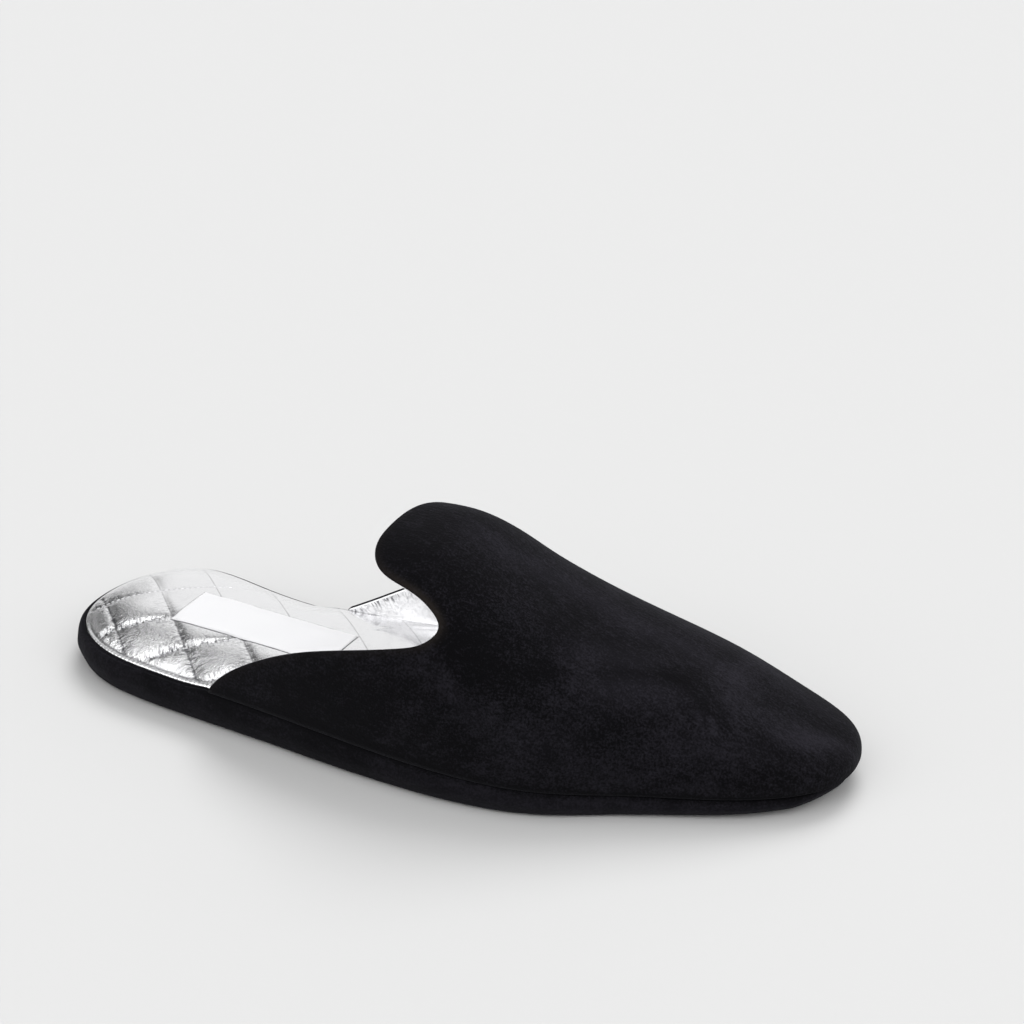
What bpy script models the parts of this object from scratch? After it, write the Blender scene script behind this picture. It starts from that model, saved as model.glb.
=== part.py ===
"""Mule slipper for the right foot: wrapped sole, hollow upper, padded insole and a blank patch.

Metres, +Z up. The toe points to +X, the inner (medial) side of the foot is +Y.
Stations run along the last from the back of the heel (0) to the tip of the toe (LENGTH).
"""

import math
from collections import namedtuple

import bpy
import numpy as np

# Driving sizes of the last
LENGTH = 0.250
BALL_WIDTH = 0.0835
INSTEP_HEIGHT = 0.0554
TOE_SPRING = 0.0026
SPRING_START = 0.70

# Sole: inset and drop give its side profile, the well takes the insole
UNDERSIDE_INSET = 0.0040
RIM_INSET = 0.0028
WELL_DEPTH = 0.0032

# Stations over which the rim rises from its rolled heel to the seat of the upper, on each side
OUTER_RIM_RISE = (0.212, 0.250)
INNER_RIM_RISE = (0.272, 0.312)

# Stations over which the side of the sole is drawn in under the toe
TOE_TUCK = (0.945, 0.990)

# Upper: wall, foot of the wall inside the sole's outline, fullness of its sections
WALL = 0.0018
FEATHER_INSET = 0.0010
SECTION_FULLNESS = 2.6

# Insole: height of its edge below the band's top, crown over the edge at heel and forefoot,
# stations over which the crown falls, and the spine from which it rounds off at both ends
INSOLE_EDGE_DROP = 0.0009
HEEL_CROWN = 0.0055
FORE_CROWN = 0.0026
CROWN_FALL = (0.40, 0.62)
CROWN_SHARPNESS = 3.0
SPINE_END = 0.030

# Patch on the heel of the insole
PATCH_LENGTH = 0.0565
PATCH_WIDTH = 0.0185
PATCH_THICKNESS = 0.0006
PATCH_BACK_STATION = 0.0366
PATCH_CENTRE = -0.0032
PATCH_TURN = math.radians(-5.0)

# Gap between pieces that meet
SEAT_GAP = 0.0003

# Facets, and the angle above which an edge stays sharp
STATIONS = 60
TOPLINE_COLUMNS = 56
UPPER_ROWS = 24
PATCH_CELLS = (12, 4)
SHARP_ANGLE = math.radians(50.0)

# Outline of the sole: station (share of length), half width (share of half the ball width),
# centre line (share of the ball width), height of the side band (metres)
PlanRow = namedtuple("PlanRow", "station half_width centre band")
PLAN = [
    PlanRow(station=0.000, half_width=0.000, centre=0.000, band=0.0132),
    PlanRow(station=0.030, half_width=0.507, centre=0.018, band=0.0133),
    PlanRow(station=0.100, half_width=0.767, centre=0.017, band=0.0134),
    PlanRow(station=0.200, half_width=0.772, centre=-0.039, band=0.0134),
    PlanRow(station=0.330, half_width=0.784, centre=-0.082, band=0.0130),
    PlanRow(station=0.460, half_width=0.912, centre=-0.070, band=0.0120),
    PlanRow(station=0.580, half_width=0.999, centre=-0.048, band=0.0106),
    PlanRow(station=0.680, half_width=0.971, centre=-0.023, band=0.0093),
    PlanRow(station=0.780, half_width=0.836, centre=0.032, band=0.0080),
    PlanRow(station=0.880, half_width=0.687, centre=0.071, band=0.0066),
    PlanRow(station=0.955, half_width=0.500, centre=0.104, band=0.0055),
    PlanRow(station=1.000, half_width=0.000, centre=0.117, band=0.0049),
]

# Crest of the upper: station (share of length), height over the band (share of the instep height),
# shift of the crest to the inner side (share of the ball width)
CrestRow = namedtuple("CrestRow", "station height shift")
CREST = [
    CrestRow(station=0.200, height=1.000, shift=0.040),
    CrestRow(station=0.280, height=1.000, shift=0.042),
    CrestRow(station=0.360, height=1.000, shift=0.046),
    CrestRow(station=0.440, height=0.980, shift=0.052),
    CrestRow(station=0.520, height=0.968, shift=0.052),
    CrestRow(station=0.600, height=0.805, shift=0.045),
    CrestRow(station=0.680, height=0.652, shift=0.034),
    CrestRow(station=0.760, height=0.536, shift=0.022),
    CrestRow(station=0.840, height=0.424, shift=0.011),
    CrestRow(station=0.910, height=0.277, shift=0.003),
    CrestRow(station=0.965, height=0.169, shift=0.000),
    CrestRow(station=1.000, height=0.000, shift=0.000),
]

# Topline of the upper: girth runs from -1 at the outer foot of the wall over the crest (0)
# to 1 at the inner foot, station is a share of the length
EdgeRow = namedtuple("EdgeRow", "girth station")
TOPLINE = [
    EdgeRow(girth=-1.000, station=0.2536),
    EdgeRow(girth=-0.934, station=0.2728),
    EdgeRow(girth=-0.837, station=0.3200),
    EdgeRow(girth=-0.755, station=0.3756),
    EdgeRow(girth=-0.684, station=0.4424),
    EdgeRow(girth=-0.622, station=0.5104),
    EdgeRow(girth=-0.551, station=0.5452),
    EdgeRow(girth=-0.484, station=0.5540),
    EdgeRow(girth=-0.434, station=0.5384),
    EdgeRow(girth=-0.400, station=0.4988),
    EdgeRow(girth=-0.356, station=0.4648),
    EdgeRow(girth=-0.289, station=0.4520),
    EdgeRow(girth=-0.123, station=0.4496),
    EdgeRow(girth=0.003, station=0.4524),
    EdgeRow(girth=0.139, station=0.4592),
    EdgeRow(girth=0.250, station=0.4690),
    EdgeRow(girth=0.340, station=0.4850),
    EdgeRow(girth=0.400, station=0.5170),
    EdgeRow(girth=0.450, station=0.5550),
    EdgeRow(girth=0.515, station=0.5720),
    EdgeRow(girth=0.590, station=0.5560),
    EdgeRow(girth=0.680, station=0.5090),
    EdgeRow(girth=0.760, station=0.4650),
    EdgeRow(girth=0.830, station=0.4226),
    EdgeRow(girth=0.888, station=0.3872),
    EdgeRow(girth=0.960, station=0.3433),
    EdgeRow(girth=1.000, station=0.3180),
]

# Side of the sole from the underside to the rim: inset from the outline, height (share of the
# band), fixed drop below that height under the upper and round the bare heel, inset at the toe tip
ProfileRow = namedtuple("ProfileRow", "inset height drop heel_drop toe_inset")
SOLE_PROFILE = [
    ProfileRow(inset=UNDERSIDE_INSET, height=0.00, drop=0.0, heel_drop=0.0, toe_inset=0.0058),
    ProfileRow(inset=0.0018, height=0.10, drop=0.0, heel_drop=0.0, toe_inset=0.0036),
    ProfileRow(inset=0.0008, height=0.26, drop=0.0, heel_drop=0.0, toe_inset=0.0026),
    ProfileRow(inset=0.0000, height=0.50, drop=0.0, heel_drop=0.0, toe_inset=0.0019),
    ProfileRow(inset=0.0003, height=0.72, drop=0.0, heel_drop=0.0, toe_inset=0.0020),
    ProfileRow(inset=0.0009, height=1.00, drop=0.0010, heel_drop=0.0023, toe_inset=0.0022),
    ProfileRow(inset=0.0017, height=1.00, drop=0.0004, heel_drop=0.0017, toe_inset=0.0024),
    ProfileRow(inset=RIM_INSET, height=1.00, drop=SEAT_GAP, heel_drop=0.0012, toe_inset=RIM_INSET),
    ProfileRow(inset=RIM_INSET, height=1.00, drop=WELL_DEPTH, heel_drop=WELL_DEPTH, toe_inset=RIM_INSET),
]

# Rings of the insole's top, as shares of the way from its spine to its edge
INSOLE_RINGS = (0.97, 0.88, 0.72, 0.50, 0.25)


def curve_through(knots, values):
    """Smooth piecewise cubic through the rows of a table, with the not-a-knot end rule."""
    x = np.asarray(knots, dtype=float)
    y = np.asarray(values, dtype=float)
    step = np.diff(x)
    slope = np.diff(y) / step
    size = len(x)
    system = np.zeros((size, size))
    right_side = np.zeros(size)
    system[0, :3] = step[1], -(step[0] + step[1]), step[0]
    system[-1, -3:] = step[-1], -(step[-2] + step[-1]), step[-2]
    for i in range(1, size - 1):
        system[i, i - 1:i + 2] = step[i - 1], 2.0 * (step[i - 1] + step[i]), step[i]
        right_side[i] = 6.0 * (slope[i] - slope[i - 1])
    bend = np.linalg.solve(system, right_side)

    def at(query):
        q = np.asarray(query, dtype=float)
        i = np.clip(np.searchsorted(x, q) - 1, 0, size - 2)
        ahead = x[i + 1] - q
        behind = q - x[i]
        cubic = (bend[i] * ahead ** 3 + bend[i + 1] * behind ** 3) / (6.0 * step[i])
        start = (y[i] / step[i] - bend[i] * step[i] / 6.0) * ahead
        end = (y[i + 1] / step[i] - bend[i + 1] * step[i] / 6.0) * behind
        return cubic + start + end

    return at


def sweep(share):
    """Turn a share of the length into an angle share, so that heel and toe come out round."""
    return np.arccos(np.clip(1.0 - 2.0 * np.asarray(share, dtype=float), -1.0, 1.0)) / math.pi


def share_at(angle_share):
    return (1.0 - np.cos(math.pi * np.asarray(angle_share, dtype=float))) / 2.0


def column(rows, name):
    return [getattr(row, name) for row in rows]


plan_stations = column(PLAN, "station")
crest_stations = column(CREST, "station")
half_width_share = curve_through(sweep(plan_stations), column(PLAN, "half_width"))
centre_share = curve_through(plan_stations, column(PLAN, "centre"))
band_height = curve_through(plan_stations, column(PLAN, "band"))
crest_share = curve_through(sweep(crest_stations), column(CREST, "height"))
crest_shift = curve_through(crest_stations, column(CREST, "shift"))


def half_width(share):
    return np.maximum(half_width_share(sweep(share)), 0.0) * BALL_WIDTH / 2.0


def centre_line(share):
    return centre_share(share) * BALL_WIDTH


def toe_spring(share):
    ramp = np.clip((np.asarray(share) - SPRING_START) / (1.0 - SPRING_START), 0.0, 1.0)
    return TOE_SPRING * ramp * ramp


def band_top(share):
    return band_height(share) + toe_spring(share)


def outline_ring(inset):
    """Closed ring of plan points: outer side from heel to toe, then the inner side back."""
    share = share_at(np.linspace(0.0, 1.0, STATIONS + 1))
    outer = np.column_stack([share * LENGTH, centre_line(share) - half_width(share)])
    inner = np.column_stack([share * LENGTH, centre_line(share) + half_width(share)])
    ring = np.concatenate([outer, inner[-2:0:-1]])
    along = np.roll(ring, -1, axis=0) - np.roll(ring, 1, axis=0)
    inward = np.column_stack([-along[:, 1], along[:, 0]])
    inward /= np.linalg.norm(inward, axis=1)[:, None]
    return ring + inset * inward


def to_frame(points):
    """Move last coordinates to the part's frame: origin under the middle of the sole's box."""
    side = outline_ring(0.0)[:, 1]
    middle = np.array([LENGTH / 2.0, (side.min() + side.max()) / 2.0, 0.0])
    return np.asarray(points) - middle


def ring_bands(ring_count, ring_size):
    """Quads between consecutive rings."""
    faces = []
    for k in range(ring_count - 1):
        for i in range(ring_size):
            following = (i + 1) % ring_size
            low = k * ring_size
            high = low + ring_size
            faces.append((low + i, low + following, high + following, high + i))
    return faces


def ring_cap(start, ring_size, upward):
    """Strips across a ring, from its outer side to the inner side."""
    faces = []
    half = ring_size // 2
    for i in range(half):
        across = [start + i, start + i + 1]
        if i + 1 < half:
            across.append(start + ring_size - i - 1)
        if i > 0:
            across.append(start + ring_size - i)
        faces.append(tuple(across) if upward else tuple(reversed(across)))
    return faces


def plain_material(name, colour, roughness, metallic):
    material = bpy.data.materials.new(name)
    material.use_nodes = True
    shader = material.node_tree.nodes["Principled BSDF"]
    shader.inputs["Base Color"].default_value = (*colour, 1.0)
    shader.inputs["Roughness"].default_value = roughness
    shader.inputs["Metallic"].default_value = metallic
    return material


def add_piece(name, points, faces, material, parent):
    mesh = bpy.data.meshes.new(name)
    mesh.from_pydata([tuple(p) for p in to_frame(points)], [], faces)
    mesh.validate()
    mesh.materials.append(material)
    mesh.shade_smooth()
    mesh.set_sharp_from_angle(angle=SHARP_ANGLE)
    piece = bpy.data.objects.new(name, mesh)
    bpy.context.scene.collection.objects.link(piece)
    piece.parent = parent
    return piece


def heel_roll():
    """For each point of a ring: 1 round the bare heel, 0 where the upper stands on the rim."""
    share = share_at(np.linspace(0.0, 1.0, STATIONS + 1))
    sides = []
    for start, end in (OUTER_RIM_RISE, INNER_RIM_RISE):
        bare = np.clip((end - share) / (end - start), 0.0, 1.0)
        sides.append(bare * bare * (3.0 - 2.0 * bare))
    return np.concatenate([sides[0], sides[1][-2:0:-1]])


def toe_tuck():
    """For each point of a ring: 1 at the toe tip, 0 from just behind it to the heel."""
    share = share_at(np.linspace(0.0, 1.0, STATIONS + 1))
    start, end = TOE_TUCK
    ahead = np.clip((share - start) / (end - start), 0.0, 1.0)
    side = ahead * ahead * (3.0 - 2.0 * ahead)
    return np.concatenate([side, side[-2:0:-1]])


def make_sole(material, parent):
    """Rolled band round the outline, flat underside with toe spring, well for the insole."""
    rings = []
    bare = heel_roll()
    tucked = toe_tuck()
    for row in SOLE_PROFILE:
        inset = row.inset + (row.toe_inset - row.inset) * tucked
        ring = outline_ring(inset[:, None])
        share = np.clip(ring[:, 0] / LENGTH, 0.0, 1.0)
        drop = row.drop + (row.heel_drop - row.drop) * bare
        height = toe_spring(share) + row.height * band_height(share) - drop
        rings.append(np.column_stack([ring, height]))
    ring_size = len(rings[0])
    faces = ring_cap(0, ring_size, upward=False)
    faces += ring_bands(len(rings), ring_size)
    faces += ring_cap((len(rings) - 1) * ring_size, ring_size, upward=True)
    return add_piece("sole", np.concatenate(rings), faces, material, parent)


def upper_point(share, girth):
    """Outer face of the upper: a full arch over the foot at each station."""
    half = half_width(share) * (1.0 - FEATHER_INSET / (BALL_WIDTH / 2.0))
    angle = (np.asarray(girth) + 1.0) * math.pi / 2.0
    across = np.cos(angle)
    rise = np.sin(angle)
    power = SECTION_FULLNESS
    reach = (np.abs(across) ** power + np.abs(rise) ** power) ** (-1.0 / power)
    middle = centre_line(share)
    crest_line = middle + crest_shift(share) * BALL_WIDTH
    foot = np.where(across >= 0.0, middle - half, middle + half)
    x = FEATHER_INSET + share * (LENGTH - FEATHER_INSET)
    y = crest_line + (foot - crest_line) * np.abs(across) * reach
    z = band_top(share) + np.maximum(crest_share(sweep(share)), 0.0) * INSTEP_HEIGHT * rise * reach
    return np.stack([x, y, z], axis=-1)


def topline_points():
    """Girth and station of evenly spaced points along the topline."""
    girth = np.array(column(TOPLINE, "girth"))
    station = np.array(column(TOPLINE, "station"))
    corner = upper_point(station, girth)
    run = np.concatenate([[0.0], np.cumsum(np.linalg.norm(np.diff(corner, axis=0), axis=1))])
    even = np.linspace(0.0, run[-1], TOPLINE_COLUMNS + 1)
    return curve_through(run, girth)(even), curve_through(run, station)(even)


def make_upper(material, parent):
    """One wall from the topline to the toe, open at the back and underneath."""
    girth, station = topline_points()
    girth[0] = -1.0
    girth[-1] = 1.0
    start = sweep(station)
    points = []
    for row in range(UPPER_ROWS):
        angle_share = start + (1.0 - start) * row / UPPER_ROWS
        points.append(upper_point(share_at(angle_share), girth))
    toe_tip = upper_point(np.array([1.0]), np.array([0.0]))
    points = np.concatenate(points + [toe_tip])
    across = TOPLINE_COLUMNS + 1
    tip = len(points) - 1
    faces = []
    for row in range(UPPER_ROWS):
        for i in range(TOPLINE_COLUMNS):
            low = row * across + i
            if row + 1 < UPPER_ROWS:
                faces.append((low, low + across, low + across + 1, low + 1))
            else:
                faces.append((low, tip, low + 1))
    upper = add_piece("upper", points, faces, material, parent)
    wall = upper.modifiers.new("wall", "SOLIDIFY")
    wall.thickness = WALL
    wall.offset = -1.0
    wall.use_even_offset = True
    wall.use_rim = True
    return upper


def insole_top(x, offset):
    """Height of the insole's crowned top; offset runs from its spine (0) to its edge (1)."""
    share = np.clip(x / LENGTH, 0.0, 1.0)
    start, end = CROWN_FALL
    fallen = np.clip((share - start) / (end - start), 0.0, 1.0)
    fallen = fallen * fallen * (3.0 - 2.0 * fallen)
    crown = HEEL_CROWN + (FORE_CROWN - HEEL_CROWN) * fallen
    return band_top(share) - INSOLE_EDGE_DROP + crown * (1.0 - offset ** CROWN_SHARPNESS)


def make_insole(material, parent):
    """Padded footbed that fills the well and crowns over its edge."""
    edge = outline_ring(RIM_INSET + SEAT_GAP)
    share = np.clip(edge[:, 0] / LENGTH, 0.0, 1.0)
    spine_x = np.clip(edge[:, 0], SPINE_END, LENGTH - SPINE_END)
    spine = np.column_stack([spine_x, centre_line(spine_x / LENGTH)])
    foot = band_top(share) - WELL_DEPTH + SEAT_GAP
    rim = band_top(share) - INSOLE_EDGE_DROP
    rings = [np.column_stack([edge, foot]), np.column_stack([edge, rim])]
    for part_way in INSOLE_RINGS:
        ring = spine + (edge - spine) * part_way
        rings.append(np.column_stack([ring, insole_top(ring[:, 0], part_way)]))
    ring_size = len(edge)
    faces = ring_cap(0, ring_size, upward=False)
    faces += ring_bands(len(rings), ring_size)
    faces += ring_cap((len(rings) - 1) * ring_size, ring_size, upward=True)
    return add_piece("insole", np.concatenate(rings), faces, material, parent)


def make_patch(material, parent):
    """Thin blank patch that follows the crown of the insole."""
    cells_along, cells_across = PATCH_CELLS
    along = np.linspace(0.0, PATCH_LENGTH, cells_along + 1)
    across = np.linspace(-PATCH_WIDTH / 2.0, PATCH_WIDTH / 2.0, cells_across + 1)
    grid_along, grid_across = np.meshgrid(along, across, indexing="ij")
    x = PATCH_BACK_STATION + grid_along * math.cos(PATCH_TURN) - grid_across * math.sin(PATCH_TURN)
    y = PATCH_CENTRE + (grid_along - PATCH_LENGTH / 2.0) * math.sin(PATCH_TURN)
    y = y + grid_across * math.cos(PATCH_TURN)
    share = x / LENGTH
    reach = half_width(share) - RIM_INSET - SEAT_GAP
    low = insole_top(x, np.abs(y - centre_line(share)) / reach) + SEAT_GAP
    points = np.stack([x, y, low + PATCH_THICKNESS], axis=-1).reshape(-1, 3)
    faces = []
    row_size = cells_across + 1
    for i in range(cells_along):
        for j in range(cells_across):
            corner = i * row_size + j
            faces.append((corner, corner + row_size, corner + row_size + 1, corner + 1))
    patch = add_piece("label_patch", points, faces, material, parent)
    body = patch.modifiers.new("thickness", "SOLIDIFY")
    body.thickness = PATCH_THICKNESS
    body.offset = -1.0
    return patch


def clear_scene():
    for item in list(bpy.data.objects):
        bpy.data.objects.remove(item, do_unlink=True)


clear_scene()
slipper = bpy.data.objects.new("mule_slipper", None)
bpy.context.scene.collection.objects.link(slipper)
suede = plain_material("black_suede", (0.012, 0.012, 0.016), 0.95, 0.0)
wrap_suede = plain_material("black_suede_wrap", (0.010, 0.010, 0.013), 0.95, 0.0)
silver_leather = plain_material("silver_foil_leather", (0.80, 0.80, 0.82), 0.32, 0.85)
patch_satin = plain_material("white_satin", (0.90, 0.90, 0.91), 0.40, 0.0)
make_sole(wrap_suede, slipper)
make_upper(suede, slipper)
make_insole(silver_leather, slipper)
make_patch(patch_satin, slipper)
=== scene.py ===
import math
from collections import namedtuple

import bmesh
import bpy
import numpy as np
from mathutils import Matrix, Vector
from mathutils.bvhtree import BVHTree
from mathutils.geometry import delaunay_2d_cdt


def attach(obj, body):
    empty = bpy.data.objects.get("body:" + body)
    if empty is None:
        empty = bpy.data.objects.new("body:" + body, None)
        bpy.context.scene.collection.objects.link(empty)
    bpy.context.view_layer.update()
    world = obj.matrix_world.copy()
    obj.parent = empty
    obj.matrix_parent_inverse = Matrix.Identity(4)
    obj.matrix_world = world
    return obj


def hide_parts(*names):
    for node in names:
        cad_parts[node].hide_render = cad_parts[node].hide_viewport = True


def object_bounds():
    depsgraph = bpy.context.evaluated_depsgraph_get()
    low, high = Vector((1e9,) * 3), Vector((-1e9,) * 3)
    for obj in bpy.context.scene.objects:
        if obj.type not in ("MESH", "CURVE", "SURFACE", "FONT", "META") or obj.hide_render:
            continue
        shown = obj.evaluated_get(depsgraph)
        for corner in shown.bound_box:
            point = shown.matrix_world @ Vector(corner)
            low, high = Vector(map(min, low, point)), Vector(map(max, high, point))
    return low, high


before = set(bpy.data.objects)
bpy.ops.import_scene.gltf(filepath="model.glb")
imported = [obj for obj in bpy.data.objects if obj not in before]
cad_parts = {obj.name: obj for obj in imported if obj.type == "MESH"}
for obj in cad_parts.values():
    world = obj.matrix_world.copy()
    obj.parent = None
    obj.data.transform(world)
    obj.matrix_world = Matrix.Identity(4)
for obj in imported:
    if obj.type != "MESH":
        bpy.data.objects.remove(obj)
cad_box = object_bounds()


# Sole
# A soft padded sole wrapped in one strip of black suede that rolls over its side like fat piping.
# It is thicker under the heel than under the toe, and its rim carries the insole and the upper.
LAST_LENGTH = cad_box[1][0] - cad_box[0][0]
BALL_WIDTH = 0.0835
TOE_SPRING = 0.0026
SPRING_START = 0.70
RIM_INSET = 0.0028
WELL_DEPTH = 0.0032
SEAT_GAP = 0.0003
SOLE_STATIONS = 220
SOLE_SIDE_ROWS = 26
HAND_WAVE = 0.00010
# Painted shade at the top of the band, just under the seam with the upper: its reach and its depth.
SEAM_SHADE = 0.0022
PAINTED_SEAM_SHADE = 0.8
OUTER_RIM_RISE = (0.212, 0.250)
INNER_RIM_RISE = (0.272, 0.312)
TOE_TUCK = (0.945, 0.990)
SOLE_DARK = (0.0009, 0.0008, 0.0013)
SOLE_PALE = (0.0080, 0.0073, 0.0100)
SOLE_MOTTLE = 46.0

# Columns: waves of the hand-drawn wrap round the sole, their strength and start
HAND_WAVES = ((23.0, 1.0, 0.6), (37.0, 0.7, 2.1), (61.0, 0.5, 0.0))

# Columns: station as a share, shift of the band's tone, darker under the waist and lighter toward the ball
BandRow = namedtuple("BandRow", "station shift")
BAND_TONE = [
    BandRow(station=0.00, shift=0.10),
    BandRow(station=0.15, shift=0.00),
    BandRow(station=0.30, shift=-0.12),
    BandRow(station=0.42, shift=-0.10),
    BandRow(station=0.52, shift=0.12),
    BandRow(station=0.62, shift=0.36),
    BandRow(station=1.00, shift=0.22),
]

# Columns: station and half width are shares, the centre line is a share of the ball width, band in metres
PlanRow = namedtuple("PlanRow", "station half_width centre band")
PLAN = [
    PlanRow(station=0.000, half_width=0.000, centre=0.000, band=0.0132),
    PlanRow(station=0.030, half_width=0.507, centre=0.018, band=0.0133),
    PlanRow(station=0.100, half_width=0.767, centre=0.017, band=0.0134),
    PlanRow(station=0.200, half_width=0.772, centre=-0.039, band=0.0134),
    PlanRow(station=0.330, half_width=0.784, centre=-0.082, band=0.0130),
    PlanRow(station=0.460, half_width=0.912, centre=-0.070, band=0.0120),
    PlanRow(station=0.580, half_width=0.999, centre=-0.048, band=0.0106),
    PlanRow(station=0.680, half_width=0.971, centre=-0.023, band=0.0093),
    PlanRow(station=0.780, half_width=0.836, centre=0.032, band=0.0080),
    PlanRow(station=0.880, half_width=0.687, centre=0.071, band=0.0066),
    PlanRow(station=0.955, half_width=0.500, centre=0.104, band=0.0055),
    PlanRow(station=1.000, half_width=0.000, centre=0.117, band=0.0049),
]

# Columns: inset, height as a share of the band, drop under the upper and round the heel, inset at the toe
ProfileRow = namedtuple("ProfileRow", "inset height drop heel_drop toe_inset")
SOLE_SIDE = [
    ProfileRow(inset=0.0040, height=0.00, drop=0.0, heel_drop=0.0, toe_inset=0.0058),
    ProfileRow(inset=0.0018, height=0.10, drop=0.0, heel_drop=0.0, toe_inset=0.0036),
    ProfileRow(inset=0.0008, height=0.26, drop=0.0, heel_drop=0.0, toe_inset=0.0026),
    ProfileRow(inset=0.0000, height=0.50, drop=0.0, heel_drop=0.0, toe_inset=0.0019),
    ProfileRow(inset=0.0003, height=0.72, drop=0.0, heel_drop=0.0, toe_inset=0.0020),
    ProfileRow(inset=0.0009, height=1.00, drop=0.0010, heel_drop=0.0023, toe_inset=0.0022),
    ProfileRow(inset=0.0017, height=1.00, drop=0.0004, heel_drop=0.0017, toe_inset=0.0024),
    ProfileRow(inset=RIM_INSET, height=1.00, drop=SEAT_GAP, heel_drop=0.0012, toe_inset=RIM_INSET),
]


def column(rows, name):
    return [getattr(row, name) for row in rows]


def curve_through(knots, values):
    """Smooth piecewise cubic through the rows of a table, with the not-a-knot end rule."""
    x = np.asarray(knots, dtype=float)
    y = np.asarray(values, dtype=float)
    step = np.diff(x)
    slope = np.diff(y) / step
    size = len(x)
    system = np.zeros((size, size))
    right_side = np.zeros(size)
    system[0, :3] = step[1], -(step[0] + step[1]), step[0]
    system[-1, -3:] = step[-1], -(step[-2] + step[-1]), step[-2]
    for i in range(1, size - 1):
        system[i, i - 1:i + 2] = step[i - 1], 2.0 * (step[i - 1] + step[i]), step[i]
        right_side[i] = 6.0 * (slope[i] - slope[i - 1])
    bend = np.linalg.solve(system, right_side)

    def at(query):
        q = np.asarray(query, dtype=float)
        i = np.clip(np.searchsorted(x, q) - 1, 0, size - 2)
        ahead = x[i + 1] - q
        behind = q - x[i]
        cubic = (bend[i] * ahead ** 3 + bend[i + 1] * behind ** 3) / (6.0 * step[i])
        start = (y[i] / step[i] - bend[i] * step[i] / 6.0) * ahead
        end = (y[i + 1] / step[i] - bend[i + 1] * step[i] / 6.0) * behind
        return cubic + start + end

    return at


def ramp(value, start, end):
    """0 at the start and 1 at the end, level on either side."""
    return np.clip((value - start) / (end - start), 0.0, 1.0)


def ease(share):
    """Turn a straight ramp into one that leaves and arrives softly."""
    return share * share * (3.0 - 2.0 * share)


def station_of(x):
    return np.clip(x / LAST_LENGTH, 0.0, 1.0)


def sweep(share):
    """Turn a share of the length into an angle share, so that heel and toe come out round."""
    return np.arccos(np.clip(1.0 - 2.0 * np.asarray(share, dtype=float), -1.0, 1.0)) / math.pi


def share_at(angle_share):
    return (1.0 - np.cos(math.pi * np.asarray(angle_share, dtype=float))) / 2.0


plan_stations = column(PLAN, "station")
half_width_share = curve_through(sweep(plan_stations), column(PLAN, "half_width"))
centre_share = curve_through(plan_stations, column(PLAN, "centre"))
band_height = curve_through(plan_stations, column(PLAN, "band"))


def half_width(share):
    return np.maximum(half_width_share(sweep(share)), 0.0) * BALL_WIDTH / 2.0


def centre_line(share):
    return centre_share(share) * BALL_WIDTH


def toe_spring(share):
    risen = ramp(np.asarray(share), SPRING_START, 1.0)
    return TOE_SPRING * risen * risen


def band_top(share):
    return band_height(share) + toe_spring(share)


def outline_ring(inset, stations):
    """Closed ring of plan points: outer side from heel to toe, then the inner side back."""
    share = share_at(np.linspace(0.0, 1.0, stations + 1))
    outer = np.column_stack([share * LAST_LENGTH, centre_line(share) - half_width(share)])
    inner = np.column_stack([share * LAST_LENGTH, centre_line(share) + half_width(share)])
    ring = np.concatenate([outer, inner[-2:0:-1]])
    along = np.roll(ring, -1, axis=0) - np.roll(ring, 1, axis=0)
    inward = np.column_stack([-along[:, 1], along[:, 0]])
    inward /= np.linalg.norm(inward, axis=1)[:, None]
    return ring + inset * inward


outline_sides = outline_ring(0.0, SOLE_STATIONS)[:, 1]
LAST_MIDDLE = np.array([LAST_LENGTH / 2.0, (outline_sides.min() + outline_sides.max()) / 2.0, 0.0])


def mesh_piece(name, points, faces, material):
    """Smooth mesh from points in last coordinates, moved to the part's frame."""
    mesh = bpy.data.meshes.new(name)
    mesh.from_pydata([tuple(p) for p in np.asarray(points) - LAST_MIDDLE], [], faces)
    mesh.validate()
    mesh.materials.append(material)
    mesh.shade_smooth()
    piece = bpy.data.objects.new(name, mesh)
    bpy.context.scene.collection.objects.link(piece)
    return piece


def ring_bands(ring_count, ring_size):
    faces = []
    for k in range(ring_count - 1):
        for i in range(ring_size):
            following = (i + 1) % ring_size
            low = k * ring_size
            high = low + ring_size
            faces.append((low + i, low + following, high + following, high + i))
    return faces


def ring_cap(start, ring_size, upward):
    faces = []
    half = ring_size // 2
    for i in range(half):
        across = [start + i, start + i + 1]
        if i + 1 < half:
            across.append(start + ring_size - i - 1)
        if i > 0:
            across.append(start + ring_size - i)
        faces.append(tuple(across) if upward else tuple(reversed(across)))
    return faces


def store(piece, name, values):
    layer = piece.data.attributes.new(name, "FLOAT", "POINT")
    layer.data.foreach_set("value", np.asarray(values).astype(np.float32))


def add_node(tree, kind, values=None, **settings):
    """New node; each value is a constant for its input or another node's output to link to it."""
    made = tree.nodes.new(kind)
    for name, value in settings.items():
        setattr(made, name, value)
    for name, value in (values or {}).items():
        if isinstance(value, bpy.types.NodeSocket):
            tree.links.new(value, made.inputs[name])
        else:
            made.inputs[name].default_value = value
    return made


def add_math(tree, operation, *values, clamp=False):
    made = add_node(tree, "ShaderNodeMath", dict(enumerate(values)), operation=operation, use_clamp=clamp)
    return made.outputs[0]


def add_noise(tree, vector, scale, detail, roughness=0.5, distortion=0.0):
    values = {"Vector": vector, "Scale": scale, "Detail": detail}
    values.update({"Roughness": roughness, "Distortion": distortion})
    return add_node(tree, "ShaderNodeTexNoise", values).outputs["Fac"]


def add_mask(tree, name):
    return add_node(tree, "ShaderNodeAttribute", attribute_name=name).outputs["Fac"]


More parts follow.
